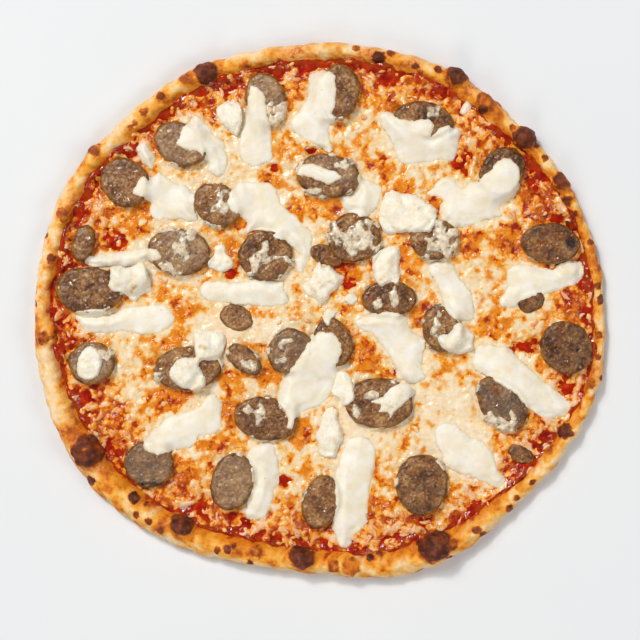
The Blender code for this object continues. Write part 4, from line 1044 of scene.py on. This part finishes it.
def make_crust():
    """The rim with its bubbles, burns and flour, and the flat base."""
    radius, z, out_r, out_z = fine_rim()
    turn = np.arange(FINE_TURNS)[:, None] * math.tau / FINE_TURNS
    share = np.arange(FINE_SECTION) / (FINE_SECTION - 1)
    x, y = radius * np.cos(turn) + CRUST_MIDDLE[0], radius * np.sin(turn) + CRUST_MIDDLE[1]
    u, v = x + 0.8 * z, y + 0.6 * z
    lift, burn = bubbles(x, y, z, u, v)
    lift = lift * (ease(0.0, 0.1, share) * fading(0.86, 0.98, share))
    radius, z = radius + lift * out_r, np.clip(z + lift * out_z, 0, CEILING)
    x, y = radius * np.cos(turn) + CRUST_MIDDLE[0], radius * np.sin(turn) + CRUST_MIDDLE[1]
    low, high = (np.array(corner) / MM for corner in CAD_BOX)
    x, y = np.clip(x, low[0] + HAIR, high[0] - HAIR), np.clip(y, low[1] + HAIR, high[1] - HAIR)
    inner = fading(0.12, 0.62, share)
    flank = ease(0.5, 0.68, share) * fading(0.8, 0.86, share) * ease(-0.5, 0.3, noise(u, v, 26, 29))
    flour = floury(x, y, inner, flank)
    bake = browned(x, y, u, v, turn, share, inner, flank, flour, burn)
    smear = fading(0.0, 0.42, share + 0.2 * rough(u, v, 13, 28) + 0.13 * rough(u, v, 4, 26))
    freckle = inner * ease(0.0, 0.5, 0.3 + noise(u, v, 12, 27))
    points = np.column_stack([x.ravel(), y.ravel(), z.ravel()])
    number = np.arange(FINE_TURNS * FINE_SECTION).reshape(FINE_TURNS, FINE_SECTION)
    ahead = np.roll(number, -1, 0)
    quads = np.stack([number[:, :-1], number[:, 1:], ahead[:, 1:], ahead[:, :-1]], -1).reshape(-1, 4)
    faces = [quads, number[:, 0][None], number[::-1, -1][None]]
    marks = {"bake": bake, "smear": smear, "flour": flour, "freckle": freckle}
    marks = {key: value.ravel() for key, value in marks.items()}
    piece("crust_rim_and_base", points, faces, CRUST, marks, ["crust"])


# ================================================================ sauce and melted cheese
INLAND = inland(MAP_X, MAP_Y)
SLICES = sorted(n for n in frame["nodes"] if n.startswith("sausage_slice"))
PIECES = sorted(n for n in frame["nodes"] if n.startswith("mozzarella"))
DOLLOPS = sorted(n for n in frame["nodes"] if n.startswith("ricotta"))
BARE_MAP = spots(BARE, 0.45) * (0.92 + 0.6 * map_rough(3.6, 62))
OIL_MAP = spots(OILY, 0.5, 6)
SMOOTH_MAP = spots(SMOOTH, 0.4, 7)
SMEAR_MAP = blurred(spots(SMEARS, 0.6, 8), 1.0)
CHAR_MAP = spots(CHARRED, 0.3, 9)
OILED_MAP = spots(OILED, 0.4, 10)
GREY_MAP = spots(GREYISH, 0.2, 13)


def cover_of(nodes):
    """1 where one of the nodes lies."""
    covered = np.zeros((SIDE, SIDE))
    for node in nodes:
        window, heights = height_map(node)
        covered[window] = np.maximum(covered[window], np.isfinite(heights))
    return covered


MEAT_MAP = cover_of(SLICES)
MILK_MAP = blurred(cover_of(PIECES), 3.0)


def undersides():
    """The lowest underside of the toppings over each place, and nan where none lies."""
    lid = np.full((SIDE, SIDE), np.nan)
    for node in SLICES + PIECES + DOLLOPS:
        window, heights = height_map(node, upper=False)
        lid[window] = np.fmin(lid[window], heights)
    return lid


def curds():
    """The height of the shreds and curds of cheese, as small domes lying across each other."""
    random = np.random.default_rng(41)
    field = np.zeros((SIDE, SIDE))
    radius, turn = CURDS_REACH * np.sqrt(random.random(CURDS)), math.tau * random.random(CURDS)
    for r, t in zip(radius, turn):
        x, y = r * math.cos(t), r * math.sin(t)
        half_width = random.uniform(1.1, 2.1)
        half_length = half_width * random.choice([1.0, 1.3, 1.8, 2.8], p=[0.35, 0.3, 0.2, 0.15])
        height, lean = random.uniform(0.6, 1.3), random.uniform(0, math.pi)
        if half_length > 4.5:
            height *= 0.85
        reach = int(half_length / CELL) + 2
        i, j = int((x + REACH) / CELL), int((y + REACH) / CELL)
        part = (slice(j - reach, j + reach + 1), slice(i - reach, i + reach + 1))
        dx, dy = MAP_X[part] - x, MAP_Y[part] - y
        along = (dx * math.cos(lean) + dy * math.sin(lean)) / half_length
        across = (dy * math.cos(lean) - dx * math.sin(lean)) / half_width
        dome = height * np.sqrt(np.clip(1 - along ** 2 - across ** 2, 0, 1))
        field[part] = np.maximum(field[part], dome)
    return field


def crust_map():
    """The height of the dough's upper side, and 0 beside it."""
    window, top = height_map("crust")
    heights = np.zeros((SIDE, SIDE))
    heights[window] = np.where(np.isfinite(top), top, 0.0)
    return heights


def sauce_map():
    """The height of the sauce, which climbs a little up the foot of the rim in places."""
    climb = 1.0 + 2.6 * ease(-0.2, 0.7, map_noise(13, 36))
    climb = climb * fading(-1.0, 5.5, INLAND + 2.0 * map_rough(8, 33))
    return SAUCE_LEVEL + climb + 0.35 * map_rough(9, 31) + 0.12 * map_noise(2.4, 34) + 0.4 * BARE_MAP


def thickness_map():
    """How thick the cheese lies over the sauce, below nought where the sauce is bare."""
    melt = 1.55 + 0.4 * map_rough(22, 51) + 0.4 * map_rough(6, 55)
    shore = INLAND + 2.0 + 4.5 * map_rough(9, 58) + 8.0 * spots(CHEESY)
    melt = melt + 1.5 * blurred(MEAT_MAP, 2.0) * (0.75 + 0.5 * map_noise(8, 59))
    melt = melt * ease(0.0, 15.0, shore) - 0.8 * fading(0.0, 9.0, shore) - 2.6 * BARE_MAP
    pits = ease(0.25, 0.8, map_noise(5.5, 61)) * (1 - 0.8 * SMOOTH_MAP)
    melt = melt - 1.0 * pits * (0.6 + 0.6 * fading(10, 60, INLAND))
    gain = 0.45 + 0.6 * fading(6, 40, INLAND) - 0.25 * SMOOTH_MAP
    thick = np.clip(melt, -0.75, 3.2) + gain * blurred(curds(), 0.5)
    return np.where(np.isfinite(LID_MAP), np.maximum(thick, 0.2), thick)


def cheese_map():
    """The height of the cheese, which reaches no further than just into the undersides of the toppings."""
    cheese = SAUCE_MAP + THICK_MAP
    return np.where(np.isfinite(LID_MAP), np.minimum(cheese, LID_MAP + 0.05), cheese)


LID_MAP = undersides()
CRUST_MAP = crust_map()
SAUCE_MAP = sauce_map()
THICK_MAP = thickness_map()
CHEESE_MAP = cheese_map()

# What the next topping lies on, which rises as the toppings are laid
GROUND = np.fmax(np.maximum(SAUCE_MAP, CHEESE_MAP), np.where(INLAND < 1.5, CRUST_MAP, 0.0))

# The upper sides of the finished slices, and the films of cheese on them, filled in as they are made
MEAT_TOP = np.zeros((SIDE, SIDE))
FILM_MAP = np.zeros((SIDE, SIDE))


def round_patch(reach_out, step):
    """A patch that fills the rim, its edge `reach_out` mm beyond the rim's foot."""
    def measure(points):
        """How far each point lies inside the patch's edge, and the place of the edge nearest it."""
        x, y = points[:, 0] - CRUST_MIDDLE[0], points[:, 1] - CRUST_MIDDLE[1]
        turn = np.arctan2(y, x)
        radius = foot_radius(turn) + reach_out
        edge = np.column_stack([radius * np.cos(turn), radius * np.sin(turn)]) + CRUST_MIDDLE
        return radius - np.hypot(x, y), edge

    reach = FOOT.max() + reach_out
    return grid_patch(measure, (-reach, -reach), (reach, reach), step)


def make_sauce():
    """The sauce, spread to the foot of the rim."""
    flat, inset, quads, triangles = round_patch(SAUCE_SPREAD, SAUCE_STEP)
    top = on_map(SAUCE_MAP, *flat.T) + 0.5 * fading(0, 4, inset)
    points, faces = on_flat_base(flat, quads, triangles, top, SAUCE_UNDER)
    scorch = np.zeros(len(points))
    scorch[:len(flat)] = fading(1.5, 7.5, inset + 2.5 * noise(*flat.T, 9, 35))
    piece("sauce_layer", points, faces, SAUCE, {"scorch": scorch}, ["sauce"])


def run_over_slices():
    """Lets the melted cheese run over the slices in thin films, and up over parts of their edges."""
    meat = widened(MEAT_TOP, 1.0)
    there = meat > 0
    meat = np.where(there, blurred(meat, 1.0) / np.maximum(blurred(there * 1.0, 1.0), 1e-6), 0.0)
    beside = blurred(MEAT_MAP, 1.5)
    creeping = ease(0.1, 0.6, map_noise(9, 81)) * ease(0.05, 0.35, beside) * fading(0.75, 1.0, beside)
    creeping = 0.85 * creeping * ease(14, 40, INLAND)
    uneven = 0.55 * map_rough(4.5, 82)
    film = np.maximum(SMEAR_MAP, creeping) * (1.0 + uneven) + 0.5 * uneven * (SMEAR_MAP > 0.05)
    film = ease(0.1, 0.95, film)
    lumps = 0.5 * map_noise(3.6, 83) + 0.08 * map_noise(1.8, 84)
    raised = meat + 1.5 * (film - 0.36) + lumps * film
    raised = np.where(there & (film > 0.03), np.maximum(CHEESE_MAP, raised), CHEESE_MAP)
    raised = np.maximum(CHEESE_MAP, np.where(there, blurred(raised, 0.5), raised))
    FILM_MAP[:] = film * there
    CHEESE_MAP[:] = np.minimum(raised, CEILING)
    GROUND[:] = np.fmax(GROUND, CHEESE_MAP)


def cheese_marks(x, y):
    """How thick, fried, oily, brown and curdy the cheese is, and how thin a veil it is on a slice."""
    thick = on_map(THICK_MAP, x, y)
    outer = fading(8, 40, on_map(INLAND, x, y))
    rise = on_map(THICK_MAP - blurred(THICK_MAP, 1.8), x, y)
    smooth, fatty = on_map(SMOOTH_MAP, x, y), on_map(OIL_MAP, x, y)
    mottle = 0.5 * rough(x, y, 18, 71) + 0.5 * rough(x, y, 5.5, 74)
    fine = 0.6 * noise(x, y, 2.8, 75) + 0.4 * noise(x, y, 1.7, 79)
    mottle = mottle + 0.5 * on_map(blurred(MEAT_MAP, 2.5), x, y) * (0.4 + noise(x, y, 7, 78))
    band = fading(12, 36, on_map(INLAND, x, y) + 5 * rough(x, y, 20, 76))
    stain = 0.395 + mottle + 1.05 * fatty + 0.58 * band - 0.5 * smooth + 0.2 * np.clip(1.2 - thick, 0, 2)
    milky = ease(0.04, 0.5, on_map(MILK_MAP, x, y) * (1 + 0.9 * rough(x, y, 7, 85)))
    stain = stain - 0.68 * milky + 0.45 * on_map(blurred(BARE_MAP, 2.5), x, y)
    on_meat = on_map(FILM_MAP, x, y)
    filmed = ease(0.1, 0.35, on_meat)
    stain = (stain - 1.1 * rise * (0.2 + 0.8 * outer)) * (1 - 0.85 * filmed) - 0.3 * filmed
    veil = filmed * (1 - 0.6 * ease(0.4, 0.9, on_meat + 0.3 * noise(x, y, 3.0, 80)))
    fried = ease(0.25, 0.75, stain + 0.2 * fine)
    cover = (0.82 + 0.1 * fine - 0.12 * np.clip(stain, -0.8, 0.3)) * (1 - fried)
    cover = cover + (0.45 + 0.12 * fine - 0.28 * ease(0.8, 1.6, stain)) * fried + 0.12 * filmed
    oil = 0.85 * fried * (1 - 0.6 * band)
    brown = ease(0.5, 1.2, stain) + 0.35 * band * ease(0.2, 0.7, stain)
    pink = band * ease(-0.1, 0.6, rise) * ease(0.35, 0.7, cover)
    dots = (0.25 + 0.75 * ease(-0.5, 0.3, stain)) * (1 - 0.4 * smooth)
    curdy = np.clip(0.35 + 0.4 * band + 0.6 * fried - 0.45 * smooth, 0.08, 1) * (1 - 0.5 * filmed)
    return {"cover": cover, "oil": oil, "brown": brown, "pink": pink, "dots": dots, "curdy": curdy,
            "veil": veil}


def make_cheese():
    """The melted cheese, sunk below the sauce where it is bare."""
    flat, _, quads, triangles = round_patch(CHEESE_SPREAD, CHEESE_STEP)
    top = np.clip(on_map(CHEESE_MAP, *flat.T), CHEESE_LOWEST, CEILING)
    points, faces = on_flat_base(flat, quads, triangles, top, CHEESE_UNDER)
    marks = cheese_marks(*flat.T)
    hidden = np.full(len(points) - len(flat), 0.5)
    marks = {key: np.concatenate([value, hidden]) for key, value in marks.items()}
    piece("melted_cheese_layer", points, faces, CHEESE, marks, ["melted_cheese"])


# ================================================================ toppings
# Width of a face of a slice, the steps between the points of a drawn edge, in corners of that edge, and
# where the soft pieces lie, which is filled in as they are made
SLICE_STEP = 0.9
EDGE_STEP = 0.12
COVERED = np.zeros((SIDE, SIDE))

# The first seeds of each kind of piece: that of its edge, and that of its surface
SEEDS = {"slice": (300, 400), "end": (350, 380), "mozzarella": (500, 520), "sliver": (760, 780),
         "dollop": (800, 820), "crumb": (900, 920)}


def seeds_of(kind, number):
    """The seed of a piece's edge, and the first of the ten that its surface may use."""
    edge, surface = SEEDS[kind]
    return edge + number, surface + 10 * number


def lay_on(node_window, heights):
    """Adds a topping's upper side to the ground that the next toppings lie on."""
    GROUND[node_window] = np.fmax(GROUND[node_window], heights)


def form_of(node, soften):
    """The height of the node's upper side on the whole map, softened, and carried on past its outline."""
    window, heights = height_map(node)
    known = np.isfinite(heights).astype(float)
    filled = np.where(known > 0, heights, 0.0)
    weight = blurred(known, soften)
    soft = blurred(filled, soften) / np.maximum(weight, 1e-6)
    wide = blurred(filled, 3.5) / np.maximum(blurred(known, 3.5), 1e-6)
    soft = np.where(weight > 0.05, soft, wide)
    whole = np.zeros((SIDE, SIDE))
    whole[window] = soft
    return whole, window, heights


def waved(loop, size, amount, seed):
    """The loop with an uneven edge."""
    middle = loop.mean(0)
    out = loop - middle
    out = out / np.linalg.norm(out, axis=1)[:, None]
    return loop + out * (amount * rough(loop[:, 0], loop[:, 1], size, seed, 2))[:, None]


def make_slice(name, loop, top_of, seed, nodes=()):
    """A slice of sausage: a flat cut face of ground meat inside a tight casing."""
    flat, inset, quads, triangles = grid_patch(inset_in(loop), loop.min(0), loop.max(0), SLICE_STEP)
    x, y = flat.T
    cut = top_of(x, y)
    meat = 0.4 * rough(x, y, 3.6, seed, 2) + 0.12 * noise(x, y, 1.8, seed + 3)
    drop, width = 1.5, 1.6
    rounded = -drop * (1 - np.sqrt(np.clip(1 - (1 - inset / width) ** 2, 0, 1))) * (inset < width)
    lip = 0.15 * np.exp(-((inset - 1.7) / 0.7) ** 2)
    top = np.minimum(cut + meat * ease(0.5, 2.5, inset) + rounded + lip, CEILING)
    top = top - 0.4 * on_map(CHAR_MAP, x, y)
    at_edge = on_map(GROUND, x, y)[inset == 0]
    under = np.full(len(x), min((top - 1.0).min(), np.percentile(at_edge, 20) - 0.4))
    points, faces = slab(flat, quads, triangles, top, under)
    skin = 0.85
    casing = skin * fading(0.8, 2.4, inset + 0.7 * noise(x, y, 5, seed + 5))
    tone = 0.16 * rough(x, y, 9, seed + 6) + 0.06 * math.sin(1.7 * seed) - 0.1 * ease(60, 140, x.mean())
    marks = {"casing": casing, "tone": tone, "char": on_map(CHAR_MAP, x, y)}
    marks.update(oiled=on_map(OILED_MAP, x, y), grey=on_map(GREY_MAP, x, y))
    marks = {key: np.tile(value, 2) for key, value in marks.items()}
    marks["casing"][len(x):] = skin
    column, row = ((flat.T + REACH) / CELL).astype(int)
    MEAT_TOP[row, column] = np.maximum(MEAT_TOP[row, column], top)
    piece(name, points, faces, SAUSAGE, marks, nodes)


def make_slices():
    """The slices that have a solid each."""
    windows = []
    for number, node in enumerate(SLICES):
        form, window, heights = form_of(node, 1.5)
        edge_seed, seed = seeds_of("slice", number)
        loop = waved(outline(node), 6, 0.55, edge_seed)
        make_slice(node + "_meat", loop, lambda x, y: on_map(form, x, y), seed, [node])
        windows.append((window, heights))
    for window, heights in windows:
        lay_on(window, heights)


def oval(x, y, length, width, turn, wave, seed):
    """The outline of a small piece: an uneven oval."""
    angle = np.arange(0, math.tau, math.tau / 72)
    a, b = length / 2 * np.cos(angle), width / 2 * np.sin(angle)
    lean = math.radians(turn)
    along_x, along_y = a * math.cos(lean) - b * math.sin(lean), a * math.sin(lean) + b * math.cos(lean)
    return waved(np.column_stack([x + along_x, y + along_y]), 5, wave, seed)


def make_small_slices():
    """Ends of sausage that show between the cheese."""
    for number, (x, y, length, width, turn) in enumerate(SMALL_SLICES):
        beneath = np.hypot(MAP_X - x, MAP_Y - y) < width / 2
        level = np.percentile(GROUND[beneath], 50) + 1.6
        edge_seed, seed = seeds_of("end", number)
        loop = oval(x, y, length, width, turn, 0.6, edge_seed)
        make_slice(f"sausage_end_{number + 1}", loop, lambda px, py: level + 0 * px, seed)
        GROUND[beneath] = np.maximum(GROUND[beneath], level)


def draped(name, loop, thickness, grounds, seed, step, edge, soft, look, nodes=()):
    """A soft piece that bridges the steps beneath its middle and settles at its rounded edge."""
    material, slot, relief, marks_of = look
    flat, inset, quads, triangles = grid_patch(inset_in(loop), loop.min(0), loop.max(0), step)
    x, y = flat.T
    near, bridged = (on_map(ground, x, y) for ground in grounds)
    over = bridged - near
    low = near + 0.5 * (over + np.sqrt(over ** 2 + 0.25)) * ease(0.3, 7.0, inset)
    share = np.clip(inset / edge, 0, 1)
    profile = (1 - (1 - share) ** 2) ** soft * (0.7 + 0.3 * ease(0.0, 4 * edge, inset))
    uneven = relief(x, y, seed)
    top = np.minimum(low + thickness(x, y, low) * profile + uneven * ease(0, 1.4, inset), CEILING)
    under = np.minimum(low - 0.25, top - 0.3)
    points, faces = slab(flat, quads, triangles, top, under)
    marks = {key: np.tile(value, 2) for key, value in marks_of(x, y, inset, uneven, seed).items()}
    piece(name, points, faces, material, marks, nodes)
    column, row = ((flat.T + REACH) / CELL).astype(int)
    COVERED[row, column] = 1.0


def edge_of(corners, wave, size, seed):
    """A smooth counterclockwise loop through the corners of an edge, with finer unevenness."""
    corners = np.array(corners, float)
    ahead = np.roll(corners, -1, 0)
    if (corners[:, 0] * ahead[:, 1] - corners[:, 1] * ahead[:, 0]).sum() < 0:
        corners = corners[::-1]
    loop = curve_through(corners, np.arange(0, len(corners), EDGE_STEP), closed=True)
    out = np.roll(loop, -1, 0) - np.roll(loop, 1, 0)
    out = np.column_stack([out[:, 1], -out[:, 0]]) / (np.linalg.norm(out, axis=1)[:, None] + 1e-6)
    return loop + out * (wave * rough(loop[:, 0], loop[:, 1], size, seed, 2))[:, None]


def milky_relief(x, y, seed):
    """Mozzarella's surface: long soft waves."""
    return 0.2 * noise(x, y, 9, seed) + 0.13 * noise(x, y, 3.8, seed + 1) + 0.05 * noise(x, y, 1.9, seed + 4)


def milky_marks(x, y, inset, uneven, seed):
    """Mozzarella is thin, and so warmer in colour, at its edge and in a few places inside."""
    thin = 0.9 * fading(0.0, 1.6, inset + 0.8 * noise(x, y, 4, seed + 2))
    return {"thin": np.maximum(thin, 0.4 * ease(0.4, 0.9, noise(x, y, 9, seed + 3)))}


def curd_relief(x, y, seed):
    """Ricotta's surface: soft lumps with hollows between them, and finer curds on both."""
    lumps = 0.8 * noise(x, y, 7.5, seed) - 0.6 * ease(0.1, 0.6, -noise(x, y, 6.0, seed + 1))
    return lumps + 0.3 * np.abs(noise(x, y, 3.0, seed + 2)) + 0.09 * noise(x, y, 1.4, seed + 3)


def curd_marks(x, y, inset, uneven, seed):
    """Ricotta browns at its highest tips."""
    some = ease(-0.1, 0.4, noise(x, y, 8, seed + 5))
    return {"tip": ease(-0.3, 0.5, uneven) * ease(1.0, 3.0, inset) * some}


MILKY_LOOK = (MOZZARELLA, "mozzarella", milky_relief, milky_marks)
CURD_LOOK = (RICOTTA, "ricotta", curd_relief, curd_marks)


def settled_ground(reach, soften):
    """The ground as a soft piece feels it: it spans the hollows between what it lies on."""
    return blurred(widened(GROUND, reach), soften)


def thickness_between(least, most, form):
    """A function of places and the level below: the thickness up to the solid's form, held within limits."""
    return lambda x, y, low: np.clip(on_map(form, x, y) - low, least, most)


def make_mozzarella():
    """The torn pieces of mozzarella, and the slivers without a solid."""
    near = np.maximum(settled_ground(0.6, 1.2) - 0.5, blurred(GROUND, 0.5) - 0.2)
    grounds = near, settled_ground(4.0, 5.5) - 0.3
    laid = []
    for number, node in enumerate(PIECES):
        form, window, heights = form_of(node, 1.4)
        edge_seed, seed = seeds_of("mozzarella", number)
        loop = edge_of(MOZZARELLA_EDGES[node], 0.55, 3.4, edge_seed)
        draped(node + "_melt", loop, thickness_between(0.85, 1.45, form), grounds, seed,
               step=0.85, edge=2.6, soft=0.8, look=MILKY_LOOK, nodes=[node])
        laid.append((window, heights))
    for number, (name, corners) in enumerate(SMALL_MOZZARELLA_EDGES.items()):
        edge_seed, seed = seeds_of("sliver", number)
        draped(name, edge_of(corners, 0.3, 3.0, edge_seed), lambda x, y, low: 1.3, grounds, seed,
               step=0.7, edge=1.4, soft=0.7, look=MILKY_LOOK)
    for window, heights in laid:
        lay_on(window, heights)


def make_ricotta():
    """The dollops of ricotta, and the crumbs without a solid."""
    near = np.maximum(settled_ground(0.8, 1.2) - 0.5, blurred(GROUND, 0.5) - 0.1)
    grounds = near, settled_ground(1.5, 2.5) - 0.5
    for number, node in enumerate(DOLLOPS):
        form, _, _ = form_of(node, 1.0)
        edge_seed, seed = seeds_of("dollop", number)
        loop = edge_of(RICOTTA_EDGES[node], 0.45, 3.0, edge_seed)
        draped(node + "_curds", loop, thickness_between(2.0, 5.0, form), grounds, seed,
               step=0.6, edge=2.4, soft=0.65, look=CURD_LOOK, nodes=[node])
    for number, (name, corners) in enumerate(SMALL_RICOTTA_EDGES.items()):
        edge_seed, seed = seeds_of("crumb", number)
        draped(name, edge_of(corners, 0.4, 2.8, edge_seed), lambda x, y, low: 2.3, grounds, seed,
               step=0.6, edge=1.8, soft=0.65, look=CURD_LOOK)


# ================================================================ loose shreds of cheese
def shred_bodies(x, y, lean, bend, length, half_width, ground):
    """Thin bent strips lying on the ground: points and faces of all of them together."""
    count = len(x)
    t = np.linspace(-0.5, 0.5, SHRED_STATIONS)
    angle = lean[:, None] + bend[:, None] * t
    px = x[:, None] + length[:, None] * t * np.cos(angle)
    py = y[:, None] + length[:, None] * t * np.sin(angle)
    heading = lean[:, None] + 2 * bend[:, None] * t
    fat = half_width[:, None] * np.sqrt(np.clip(1 - (2.05 * t) ** 2, 0.1, 1))
    fat = fat * (1 + 0.3 * noise(px, py, 1.6, 92))
    base = on_map(ground, px, py)
    base = (base + np.roll(base, 1, 1) + np.roll(base, -1, 1)) / 3 * 0.5 + base * 0.5
    around = np.arange(SHRED_SIDES) * math.tau / SHRED_SIDES
    side, up = np.cos(around), np.sin(around)
    vx = px[..., None] - np.sin(heading)[..., None] * fat[..., None] * side
    vy = py[..., None] + np.cos(heading)[..., None] * fat[..., None] * side
    vz = base[..., None] - 0.1 * fat[..., None] + 0.65 * fat[..., None] * up
    points = np.stack([vx, vy, vz], -1).reshape(-1, 3)
    number = np.arange(count * SHRED_STATIONS * SHRED_SIDES).reshape(count, SHRED_STATIONS, SHRED_SIDES)
    ahead, beside = number[:, 1:], np.roll(number, -1, 2)
    quads = np.stack([number[:, :-1], ahead, beside[:, 1:], beside[:, :-1]], -1).reshape(-1, 4)
    return points, [quads, number[:, 0].reshape(count, -1), number[:, -1, ::-1].reshape(count, -1)]


def make_shreds():
    """Shreds of cheese that have kept their shape, most of them near the rim, and none on a topping."""
    random = np.random.default_rng(91)
    radius = SHREDS_REACH * np.sqrt(random.random(SHREDS_TRIED))
    turn = math.tau * random.random(SHREDS_TRIED)
    x, y = radius * np.cos(turn), radius * np.sin(turn)
    near_rim = fading(8, 36, on_map(INLAND, x, y))
    clumps = ease(-0.3, 0.5, rough(x, y, 16, 93))
    chance = (0.02 + 0.3 * near_rim) * clumps * (on_map(INLAND, x, y) > -1.5)
    chance = chance * (1 - 0.8 * on_map(SMOOTH_MAP, x, y))
    chance = chance * (0.25 + 0.75 * ease(-0.2, 0.5, on_map(THICK_MAP, x, y)))
    beneath = on_map(widened(np.maximum(COVERED, np.isfinite(LID_MAP)), 2.0), x, y)
    chance = np.where(beneath > 0.2, 0.0, chance)
    kept = random.random(SHREDS_TRIED) < chance
    x, y = x[kept], y[kept]
    count = len(x)
    half_width = random.uniform(0.75, 1.45, count)
    length = half_width * random.uniform(2.0, 5.8, count)
    lean, bend = random.uniform(0, math.tau, count), random.normal(0, 0.8, count)
    points, faces = shred_bodies(x, y, lean, bend, length, half_width, GROUND)
    each = np.repeat(np.arange(count), SHRED_STATIONS * SHRED_SIDES)
    cover = random.uniform(0.35, 0.74, count)[each] + 0.15 * noise(points[:, 0], points[:, 1], 2.5, 94)
    pink = (0.5 + 0.6 * random.random(count))[each]
    oil = (0.5 * random.random(count) ** 3)[each]
    marks = {"cover": cover, "oil": oil, "pink": pink, "brown": 0.15, "dots": 0.2, "curdy": 0.15, "veil": 0}
    points[:, 2] = np.minimum(points[:, 2], CEILING)
    piece("loose_cheese_shreds", points, faces, SHREDS, marks)


# ================================================================ studio
# Each lamp's width in metres, power in watts and place
LAMPS = {
    "soft_window": (2.2, 112.0, (-2.0, 2.3, 3.6)),
    "small_window": (0.5, 74.0, (-1.8, 2.6, 3.6)),
    "fill_right": (2.0, 44.0, (3.2, -1.0, 2.6)),
    "fill_front": (2.0, 40.0, (-1.0, -3.4, 2.6)),
}

# The colour of the lamps, and the colour and strength of the even light all round
LAMPLIGHT = (1.0, 0.985, 0.96)
SKYLIGHT = (0.97, 0.98, 1.0, 1.0)
SKY_STRENGTH = 0.21

# The place that the camera looks straight down at, its height above that and the width it sees there, in
# metres, and the width of its sensor in mm
CAMERA_AIM = (0.0002, -0.0055, 0.006)
CAMERA_HEIGHT = 1.0
SEEN_WIDTH = 0.3693
SENSOR = 36.0

# The table's width, and its level just below the pizza, in metres
TABLE_SIZE, TABLE_LEVEL = 4.0, -0.0002


def hang_lamp(name, width, power, where):
    """A round soft lamp that shines at the middle of the table."""
    lamp = bpy.data.lights.new(name, "AREA")
    lamp.shape = "DISK"
    lamp.size = width
    lamp.energy = power
    lamp.color = LAMPLIGHT
    light = bpy.data.objects.new(name, lamp)
    bpy.context.scene.collection.objects.link(light)
    light.location = where
    light.rotation_mode = "QUATERNION"
    light.rotation_quaternion = (-light.location).to_track_quat("-Z", "Y")


def make_studio():
    """A pale table, a large soft light from the upper left, even light all round and the camera overhead."""
    bpy.ops.mesh.primitive_plane_add(size=TABLE_SIZE, location=(0, 0, TABLE_LEVEL))
    table = bpy.context.object
    table.name = "pale_table"
    table.data.materials.append(table_finish())
    world = bpy.data.worlds.new("studio")
    bpy.context.scene.world = world
    world.use_nodes = True
    background = world.node_tree.nodes["Background"]
    background.inputs["Color"].default_value = SKYLIGHT
    background.inputs["Strength"].default_value = SKY_STRENGTH
    for name, (width, power, where) in LAMPS.items():
        hang_lamp(name, width, power, where)
    lens = bpy.data.cameras.new("overhead")
    camera = bpy.data.objects.new("overhead", lens)
    bpy.context.scene.collection.objects.link(camera)
    lens.sensor_width = SENSOR
    lens.lens = SENSOR * CAMERA_HEIGHT / SEEN_WIDTH
    camera.location = (CAMERA_AIM[0], CAMERA_AIM[1], CAMERA_HEIGHT + CAMERA_AIM[2])
    bpy.context.scene.camera = camera
    bpy.context.scene.view_settings.view_transform = "Standard"


make_crust()
make_sauce()
make_slices()
make_small_slices()
run_over_slices()
make_cheese()
make_mozzarella()
make_ricotta()
make_shreds()
make_studio()
